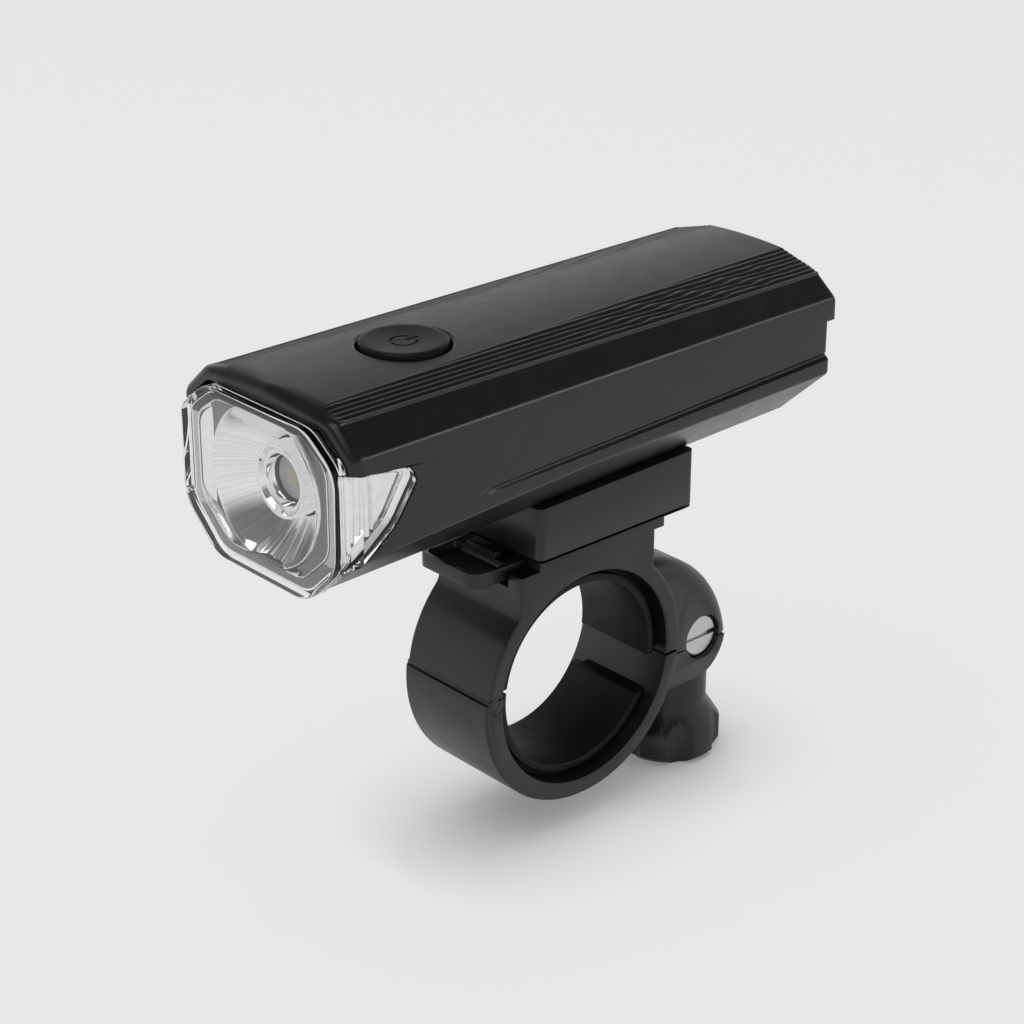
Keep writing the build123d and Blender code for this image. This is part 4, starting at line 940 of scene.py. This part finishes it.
def housing_outside(y):
    corner, bottom = housing_heights(y)
    share = clamp01((y - RELIEF_Y) / (HOUSING_REAR - RELIEF_Y))
    sunk = HEAD_HALF - RELIEF_DEPTH * share
    groove_z = lerp(*RELIEF_Z, share)
    fade = smooth((y - RELIEF_Y) / GROOVE_FADE) * (1 - GROOVE_REAR_LOSS * share)
    floor = sunk - GROOVE_DEPTH * fade
    return under_the_bottom(rounded([
        (sunk, HOUSING_TOP + seam_rise(y), 0), (sunk, groove_z + GROOVE_MOUTH_HALF, RELIEF_ROUND),
        (floor, groove_z + GROOVE_FLOOR_HALF, GROOVE_ROUND),
        (floor, groove_z - GROOVE_FLOOR_HALF, GROOVE_ROUND),
        (HEAD_HALF, groove_z - GROOVE_MOUTH_HALF, GROOVE_ROUND), (HEAD_HALF, corner, HOUSING_ROUND),
        (BOTTOM_HALF, bottom, HOUSING_ROUND), (0, bottom, 0)], 5))


def housing_inside(y):
    corner, bottom = housing_heights(y)
    side = HEAD_HALF - HOUSING_WALL
    floor = bottom + HOUSING_WALL
    return under_the_bottom([(side, HOUSING_TOP + seam_rise(y)), (side, corner + INSIDE_CORNER_RISE),
                             (BOTTOM_HALF - INSIDE_FLOOR_INSET, floor), (0, floor)])


def make_housing():
    """Lower housing with its windows, its screw holes and the seat of the flap."""
    shape = shell(housing_outside, housing_inside, HOUSING_FRONT, HOUSING_REAR, HOUSING_WALL, HOUSING_WALL,
                  HOUSING_LIP, HOUSING_LIP, HOUSING_STEPS)
    housing = make_piece("housing_shell", shape, HOUSING_PLASTIC, "head", "lower_housing",
                         sharp=HOUSING_SHARP)
    ahead = WINDOW_FRONT_Y - OPENING_AHEAD
    above = WINDOW_TOP + OPENING_ABOVE
    opening = [(ahead, above, LEAST_ROUND), (ahead, WINDOW_CORNERS[1][1], LEAST_ROUND)] + WINDOW_CORNERS[2:]
    opening.append((WINDOW_CORNERS[-1][0] - OPENING_LEAN, above, LEAST_ROUND))
    outline = arc_loop(shrunk(opening, -WINDOW_GAP))
    cuts = [prism(outline, along_x, -HEAD_HALF - PAST, HEAD_HALF + PAST)]
    low, high = box_mm("housing_screws")
    for x in (low.x + SCREW_RADIUS, high.x - SCREW_RADIUS):
        for y in (low.y + SCREW_RADIUS, high.y - SCREW_RADIUS):
            hole = circle(SCREW_HOLE_RADIUS, 40, x, y)
            cuts.append(prism(hole, along_z, BOTTOM_FRONT_Z - PAST, SCREW_HOLE_TOP))
    root = circle(FLAP_ROOT_RADIUS, 24, HOUSING_REAR, FLAP_ROOT_Z)
    cuts.append(prism(root, along_x, -FLAP_ROOT_HALF, FLAP_ROOT_HALF))
    for cut in cuts:
        combine(housing, cut, sharp=HOUSING_SHARP)


# Clear lens

def front_rings(corners, section):
    """Rings that follow corners seen from the front, at each (inset, y) of the section."""
    return [[(x, y, z) for x, z in arc_loop(shrunk(corners, inset))] for inset, y in section]


def side_rings(side, corners, section):
    """Rings that follow corners seen from the side, at each (x, inset) of the section."""
    return [[(side * x, y, z) for y, z in arc_loop(shrunk(corners, inset))] for x, inset in section]


def pane_shape(side):
    """Closed shape of a window pane, its outer edge rounded and its front corner cut back."""
    section = [(HEAD_HALF - PANE_THICKNESS, 0.0)]
    section += [(HEAD_HALF - PANE_ROUND * back, PANE_ROUND * drawn) for drawn, back in quarter(4)]
    pane = add_object("pane", *loft(side_rings(side, WINDOW_CORNERS, section)))
    combine(pane, prism([(side * x, y) for x, y in PANE_CUT], along_z, *WINDOW_SPAN))
    points = [v.co / MM for v in pane.data.vertices]
    faces = [tuple(f.vertices) for f in pane.data.polygons]
    bpy.data.objects.remove(pane)
    return points, faces


def make_lens():
    """Thin-walled clear cup, with a window pane fused to each side."""
    outer = mirrored(LENS_HALF)
    section = [(LENS_ROUND * drawn, LENS_FRONT + LENS_ROUND * back) for drawn, back in quarter(8)[::-1]]
    section += [(0.0, LENS_REAR), (LENS_WALL, LENS_REAR)]
    section += [(LENS_WALL + LENS_ROUND * drawn, LENS_FRONT + LENS_PLATE + LENS_ROUND * back)
                for drawn, back in quarter(4)]
    lens = make_piece("lens_glass", loft(front_rings(outer, section)), CLEAR, "head", "front_lens")
    for side in (-1, 1):
        combine(lens, pane_shape(side), "UNION")


# Reflector and light source

def bright_part(name, shape, material=CHROME, sharp=SHARP):
    """Plated piece of the reflector, on the lamp head."""
    return make_piece(name, shape, material, "head", "reflector", sharp)


def bowl_y(radius):
    vertex = BOWL_RIM_Y + BOWL_RADIUS ** 2 / (4 * BOWL_FOCUS)
    return vertex - radius ** 2 / (4 * BOWL_FOCUS)


def flute(radius, angle):
    """Depth of the shallow radial flutes in the lower right of the bowl, none at its rim."""
    degrees = (angle * 180 / pi) % 360
    if radius >= BOWL_RADIUS - BOWL_RIM_GAP or not FLUTES_FROM < degrees < FLUTES_TO:
        return 0.0
    part = (degrees - FLUTES_FROM) / (FLUTES_TO - FLUTES_FROM) * BOWL_FLUTES
    return BOWL_FLUTE_DEPTH * (radius - BOWL_HOLE) / (BOWL_RADIUS - BOWL_HOLE) * abs(sin(pi * part))


def make_bowl():
    """Parabolic bowl with a rolled rim, trimmed to the cup's inside."""
    radii = [lerp(BOWL_HOLE, BOWL_RADIUS, i / BOWL_STEPS) for i in range(BOWL_STEPS + 1)]
    profile = [(r, bowl_y(r)) for r in radii]
    profile += [(BOWL_RADIUS + out, BOWL_RIM_Y + back) for out, back in BOWL_RIM]
    profile.append((BOWL_RADIUS + BOWL_RIM[-1][0], TRAY_BACK))
    profile += [(r, bowl_y(r) + BOWL_WALL) for r in reversed(radii[:-3])]
    shape = lathe(profile, BOWL_SEGMENTS, BEAM_CENTRE, shift=flute)
    bowl = bright_part("reflector_bowl", shape, BOWL_CHROME, BOWL_SHARP)
    room = arc_loop(shrunk(mirrored(CAVITY_HALF), BOWL_INSET), 6)
    combine(bowl, prism(room, along_y, TRAY_FRONT - 2 * PAST, BOWL_BACK_Y), "INTERSECT", BOWL_SHARP)


def make_tray():
    """Plate round the bowl in a bright wall; its forward faces take dark chrome as a painted reflection."""
    tray = bright_part("reflector_tray", loft(front_rings(mirrored(CAVITY_HALF), TRAY_EDGE)))
    hole = circle(TRAY_HOLE, 160, 0.0, BEAM_Z)
    combine(tray, prism(hole, along_y, TRAY_FRONT - 3 * PAST, TRAY_BACK + PAST))
    tray.data.materials.append(PAINTED_DARK_CHROME)
    # Forward faces at the plate take the dark chrome: painted reflection
    for face in tray.data.polygons:
        painted_reflection_face = face.normal.y < -PLATE_FACING and face.center.y / MM > TRAY_PLATE_Y - PLATE_BAND
        face.material_index = 1 if painted_reflection_face else 0


def make_cheek(side, name):
    """Bevelled bright cheek at one side of the plate."""
    plan = [(side * (CAVITY_HALF[1][0] - inset), y) for inset, y in CHEEK_PLAN]
    cheek = bright_part("reflector_cheek_" + name, prism(plan, along_z, *WINDOW_SPAN))
    room = arc_loop(shrunk(mirrored(CAVITY_HALF), CHEEK_CLEARANCE))
    combine(cheek, prism(room, along_y, TRAY_FRONT - PAST, TRAY_BACK), "INTERSECT")


def make_seat():
    """Ring behind the rim of the clear cup: dimmed chrome at its sides and darker chrome below, both
    painted reflection, and black rubber under the lip.
    """
    outer = shrunk(mirrored(LENS_HALF), LENS_WALL + SEAT_GAP)
    inner = shrunk(mirrored(CAVITY_HALF), SEAT_GAP)
    rings = front_rings(outer, SEAT_OUTER) + front_rings(inner, SEAT_INNER)
    seat = bright_part("reflector_seat", tube(rings), PAINTED_DIM_CHROME)
    seat.data.materials.append(SOFT_RUBBER)
    seat.data.materials.append(PAINTED_DARK_CHROME)
    for side in (-1, 1):
        low, high = sorted(side * x for x in SEAT_NOTCH_X)
        room = rectangle(low, high, *SEAT_NOTCH_Z)
        combine(seat, prism(room, along_y, BEHIND_PLATE - PAST, BEHIND_PLATE + 2 * PAST))
    # Faces above the lip take rubber; faces below the notches take the dark chrome and the rest the dimmed
    # chrome, both painted reflection
    for face in seat.data.polygons:
        height = face.center.z / MM
        face.material_index = 1 if height > SEAT_LIP_Z else 2 if height < SEAT_NOTCH_Z[0] else 0


def fluted_plan(front, rear):
    """Plan of a plate that faces +X, with upright flutes along its front part."""
    flutes_end = front + WING_FLUTES * FLUTE_PITCH
    count = FLUTE_STEPS * WING_FLUTES
    plan = []
    for i in range(count + 1):
        y = lerp(front, flutes_end, i / count)
        rise = FLUTE_HEIGHT * abs(sin(pi * (y - front) / FLUTE_PITCH))
        plan.append((WING_X - FLUTE_ROOT + rise, y))
    return plan + [(WING_X - WING_FACE, flutes_end + WING_STEP_FRONT), (WING_X - WING_FACE, rear),
                   (WING_X - WING_BACK, rear), (WING_X - WING_BACK, flutes_end + WING_STEP_BACK),
                   (WING_X - FLUTE_BACK, flutes_end), (WING_X - FLUTE_BACK, front)]


def make_wing(side, name):
    """Bright plate behind a side window, fluted at its front, in a bevelled frame."""
    corners = [(y, z + (FRAME_RAISE if z > FRAME_RAISE_FROM else 0), r) for y, z, r in WINDOW_CORNERS]
    section = [(WING_X + out, inset) for out, inset in FRAME_SECTION]
    border = bright_part("wing_frame_" + name, loft(side_rings(side, corners, section)))
    ahead = rectangle(WINDOW_FRONT_Y - 2 * PAST, FRAME_START, *HEAD_SPAN)
    combine(border, prism(ahead, along_x, -HEAD_HALF, HEAD_HALF))
    plan = [(side * x, y) for x, y in fluted_plan(BEHIND_PLATE, WINDOW_TIP_Y)]
    wing = bright_part("reflector_wing_" + name, prism(plan, along_z, *WINDOW_SPAN))
    outline = arc_loop(shrunk(corners, WING_INSET))
    combine(wing, prism(outline, along_x, -HEAD_HALF, HEAD_HALF), "INTERSECT")


def make_collar():
    """Stepped bright collar round the light source."""
    shape = lathe(COLLAR_SECTION, SEGMENTS, BEAM_CENTRE)
    make_piece("led_collar", shape, CHROME, "head", "led_ring")


def make_source():
    """Clear dome over a square phosphor chip on a white base."""
    turns = [pi / 2 * i / DOME_STEPS for i in range(DOME_STEPS + 1)]
    profile = [(DOME_RADIUS * sin(t), DOME_Y - DOME_RISE * cos(t)) for t in turns]
    profile += [(DOME_RADIUS, DOME_FOOT_Y), (0, DOME_FOOT_Y)]
    shape = solid_lathe(profile, 96, BEAM_CENTRE)
    make_piece("led_dome", shape, DOME_CLEAR, "head", "led_emitter")
    shape = solid_lathe(rectangle(0, DOME_RADIUS, *LED_BASE_Y), 64, BEAM_CENTRE)
    make_piece("led_base", shape, WHITE_PLASTIC, "head", "led_emitter")
    square = rectangle(-CHIP_HALF, CHIP_HALF, BEAM_Z - CHIP_HALF, BEAM_Z + CHIP_HALF)
    shape = prism(arc_loop([(x, z, CHIP_ROUND) for x, z in square], 3), along_y, *CHIP_Y)
    make_piece("led_chip", shape, PHOSPHOR, "head", "led_emitter", sharp=BUTTON_SHARP)


# Power button

def make_button():
    """Dished rubber cap with a sunken power symbol."""
    profile = [(radius, BUTTON_TOP - depth) for radius, depth in BUTTON_CAP]
    shape = solid_lathe(profile, SEGMENTS, (0, BUTTON_Y, 0), "Z")
    button = make_piece("button_cap", shape, BUTTON_RUBBER, "button", "power_button", sharp=BUTTON_SHARP)
    start, end = radians(90 + SYMBOL_GAP), radians(450 - SYMBOL_GAP)
    turns = [lerp(start, end, i / SYMBOL_STEPS) for i in range(SYMBOL_STEPS + 1)]
    half = SYMBOL_HALF_WIDTH
    runs = ((SYMBOL_RADIUS + half, turns), (SYMBOL_RADIUS - half, turns[::-1]))
    arc = [(radius * cos(t), BUTTON_Y + radius * sin(t)) for radius, run in runs for t in run]
    bar = rectangle(-half, half, *(BUTTON_Y + y for y in SYMBOL_BAR))
    for outline in (arc, bar):
        combine(button, prism(outline, along_z, BUTTON_TOP - SYMBOL_BASE, BUTTON_TOP + PAST),
                sharp=BUTTON_SHARP)


# Clamp, shoe and lever

def dressed_copy(node, name, material, body, cuts=(), bevel=CLAMP_BEVEL):
    """Piece with a CAD node's shape, with details cut and its sharp edges softened."""
    mesh = NODES[node].data.copy()
    mesh.name = name
    mesh.materials.clear()
    work = bmesh.new()
    work.from_mesh(mesh)
    bmesh.ops.remove_doubles(work, verts=work.verts, dist=CAD_WELD * MM)
    bmesh.ops.dissolve_limit(work, angle_limit=radians(CAD_FLAT_ANGLE), verts=work.verts, edges=work.edges)
    work.to_mesh(mesh)
    work.free()
    piece = dress(new_object(name, mesh), material, body, node)
    for shape in cuts:
        combine(piece, shape)
    soften = piece.modifiers.new("soften", "BEVEL")
    soften.width = bevel * MM
    soften.segments = 2
    soften.limit_method = "ANGLE"
    soften.angle_limit = radians(BEVEL_ANGLE)
    soften.use_clamp_overlap = True
    bake_modifiers(piece, SHARP)


def ring_x(section):
    """Closed (x, radius) section turned about the bar's axis."""
    turns = [2 * pi * i / SEGMENTS for i in range(SEGMENTS)]
    return tube([[(x, r * cos(t), r * sin(t)) for x, r in section] for t in turns])


def make_shoe():
    """Rail shoe, with a seam round its foot where it meets the rail plate."""
    low, high = box_mm("rail_shoe")
    deep = SHOE_SEAM_DEPTH
    outer = rectangle(low.x - PAST, high.x + PAST, low.y - PAST, high.y + PAST)
    inner = rectangle(low.x + deep, high.x - deep, low.y + deep, high.y - deep)
    bottom, top = (low.z + z for z in SHOE_SEAM_Z)
    seam = tube([[(x, y, z) for x, y in edge]
                 for edge, z in ((outer, bottom), (outer, top), (inner, top), (inner, bottom))])
    dressed_copy("rail_shoe", "shoe_body", BRACKET_PLASTIC, "head", [seam])


def make_clamp():
    """Both halves of the clamp and the thumb knob, with softened edges."""
    dressed_copy("upper_clamp", "clamp_upper_body", BRACKET_PLASTIC, "bracket")
    dressed_copy("lower_clamp", "clamp_lower_body", BRACKET_PLASTIC, "jaw")
    dressed_copy("thumb_knob", "knob_body", KNOB_PLASTIC, "knob", bevel=KNOB_BEVEL)


def make_liners():
    """Rubber liners, each with a groove in both of its ends."""
    end = box_mm("upper_liner")[1].x
    grooves = [ring_x(rectangle(side * (end - LINER_GROOVE), side * (end + PAST), *LINER_GROOVE_RADII))
               for side in (-1, 1)]
    dressed_copy("upper_liner", "liner_upper", LINER_RUBBER, "bracket", grooves, LINER_BEVEL)
    dressed_copy("lower_liner", "liner_lower", LINER_RUBBER, "jaw", grooves, LINER_BEVEL)


def make_lever():
    """Release lever with a thumb pocket in its tab."""
    front = box_mm("release_lever")[0].y + LEVER_RIM
    plan = rectangle(-POCKET_HALF, POCKET_HALF, front, POCKET_REAR_Y)
    corners = [(x, y, POCKET_FRONT_ROUND if y == front else POCKET_REAR_ROUND) for x, y in plan]
    pocket = loft([[(x, y, POCKET_FLOOR_Z + rise) for x, y in arc_loop(shrunk(corners, inset), 6)]
                   for inset, rise in POCKET_WALL])
    dressed_copy("release_lever", "lever_tab", BRACKET_PLASTIC, "lever", [pocket], LEVER_BEVEL)


def make_barrel():
    """Cross barrel with a screwdriver slot in each end."""
    low, high = box_mm("pivot_barrel")
    y, z = (low.y + high.y) / 2, (low.z + high.z) / 2
    radius = (high.z - low.z) / 2
    section = [(AXIS_GAP, -BARREL_HALF)]
    section += [(radius - inset, back - BARREL_HALF) for inset, back in BARREL_EDGE]
    section += [(r, -x) for r, x in reversed(section)]
    rings = [[(x, u, v) for u, v in circle(r, BARREL_SEGMENTS, y, z)] for r, x in section]
    barrel = make_piece("barrel_body", loft(rings), ZINC_STEEL, "swing_bolt", "pivot_barrel")
    reach, half = BARREL_SLOT_REACH, BARREL_SLOT_HALF
    slot = rectangle(y - reach, y + reach, z - half, z + half)
    for side in (-1, 1):
        ends = sorted((side * (BARREL_HALF - BARREL_SLOT_DEPTH), side * (BARREL_HALF + PAST)))
        combine(barrel, prism(slot, along_x, *ends))


make_cover()
make_housing()
make_lens()
make_bowl()
make_tray()
for side, name in SIDES:
    make_cheek(side, name)
make_seat()
for side, name in SIDES:
    make_wing(side, name)
make_collar()
make_source()
make_button()
make_shoe()
make_clamp()
make_liners()
make_lever()
make_barrel()


# Studio

def aim(thing, direction):
    thing.rotation_mode = "QUATERNION"
    thing.rotation_quaternion = direction.to_track_quat("-Z", "Y")


def make_camera():
    azimuth, elevation = radians(CAMERA_AZIMUTH), radians(CAMERA_ELEVATION)
    back = Vector((sin(azimuth) * cos(elevation), -cos(azimuth) * cos(elevation), sin(elevation)))
    data = bpy.data.cameras.new("photo_camera")
    data.sensor_width = 36.0
    data.lens = CAMERA_LENS
    data.clip_start = 0.01
    data.clip_end = 10.0
    camera = new_object("photo_camera", data)
    camera.location = (Vector(CAMERA_TARGET) + back * CAMERA_DISTANCE) * MM
    aim(camera, -back)
    bpy.context.scene.camera = camera


def seen_rays(tree):
    """1 for camera, glossy and transmission rays, which show the pale background itself."""
    ray = add_node(tree, "LightPath")
    seen = ray.outputs["Is Camera Ray"]
    for name in ("Is Glossy Ray", "Is Transmission Ray"):
        seen = math_node(tree, "MAXIMUM", seen, ray.outputs[name])
    return seen


def make_floor():
    """Pale floor that keeps the object's contact shadow."""
    half = FLOOR_HALF
    z = cad_low.z - FLOOR_GAP
    mesh = bpy.data.meshes.new("floor")
    mesh.from_pydata([(x, y, z) for x, y in rectangle(-half, half, -half, half)], [], [(0, 1, 2, 3)])
    floor = new_object("floor", mesh)
    material, tree, shader = new_material("floor_pale")
    feed(shader, {"Base Color": grey(FLOOR_GREY), "Roughness": 0.9, "Specular IOR Level": 0.0})
    near = add_node(tree, "AmbientOcclusion", {"Distance": FLOOR_SHADOW_REACH * MM})
    near.samples = 16
    shadow = ramp(tree, near.outputs["AO"], FLOOR_CONTACT, FLOOR_GLOW, low_at=0.25, high_at=1.0)
    glow = add_node(tree, "Emission", {"Color": shadow})
    wash = add_node(tree, "BsdfDiffuse", {"Color": grey(FLOOR_WASH)})
    both = add_node(tree, "AddShader", {0: glow.outputs["Emission"], 1: wash.outputs["BSDF"]})
    mix = add_node(tree, "MixShader", {"Fac": seen_rays(tree), 1: shader.outputs["BSDF"],
                                       2: both.outputs["Shader"]})
    feed(tree.nodes["Material Output"], {"Surface": mix.outputs["Shader"]})
    mesh.materials.append(material)


def make_world():
    """Studio walls: pale up to some 20 degrees above the horizon, then falling to a dark ceiling."""
    world = bpy.data.worlds.new("studio")
    bpy.context.scene.world = world
    world.use_nodes = True
    tree = world.node_tree
    split = add_node(tree, "SeparateXYZ", {"Vector": add_node(tree, "TexCoord").outputs["Generated"]})
    lowest, *between, highest = WALL_GREYS
    shade = ramp(tree, split.outputs["Z"], lowest[1], highest[1], low_at=lowest[0], high_at=highest[0])
    for at, value in between:
        shade.node.color_ramp.elements.new(at).color = grey(value)
    feed(tree.nodes["Background"], {"Color": shade})


def area_light(name, place, size, power):
    """Square area light that points at the object."""
    data = bpy.data.lights.new(name, "AREA")
    data.shape = "RECTANGLE"
    data.size = data.size_y = size
    data.energy = power
    lamp = new_object(name, data)
    lamp.location = place
    aim(lamp, Vector(LIGHT_TARGET) - Vector(place))
    return lamp


make_camera()
make_floor()
make_world()
area_light("overhead", *OVERHEAD_LIGHT)
edge_light = area_light("edges", *EDGE_LIGHT)
edge_light.visible_diffuse = False

bpy.context.scene.view_settings.view_transform = "Standard"
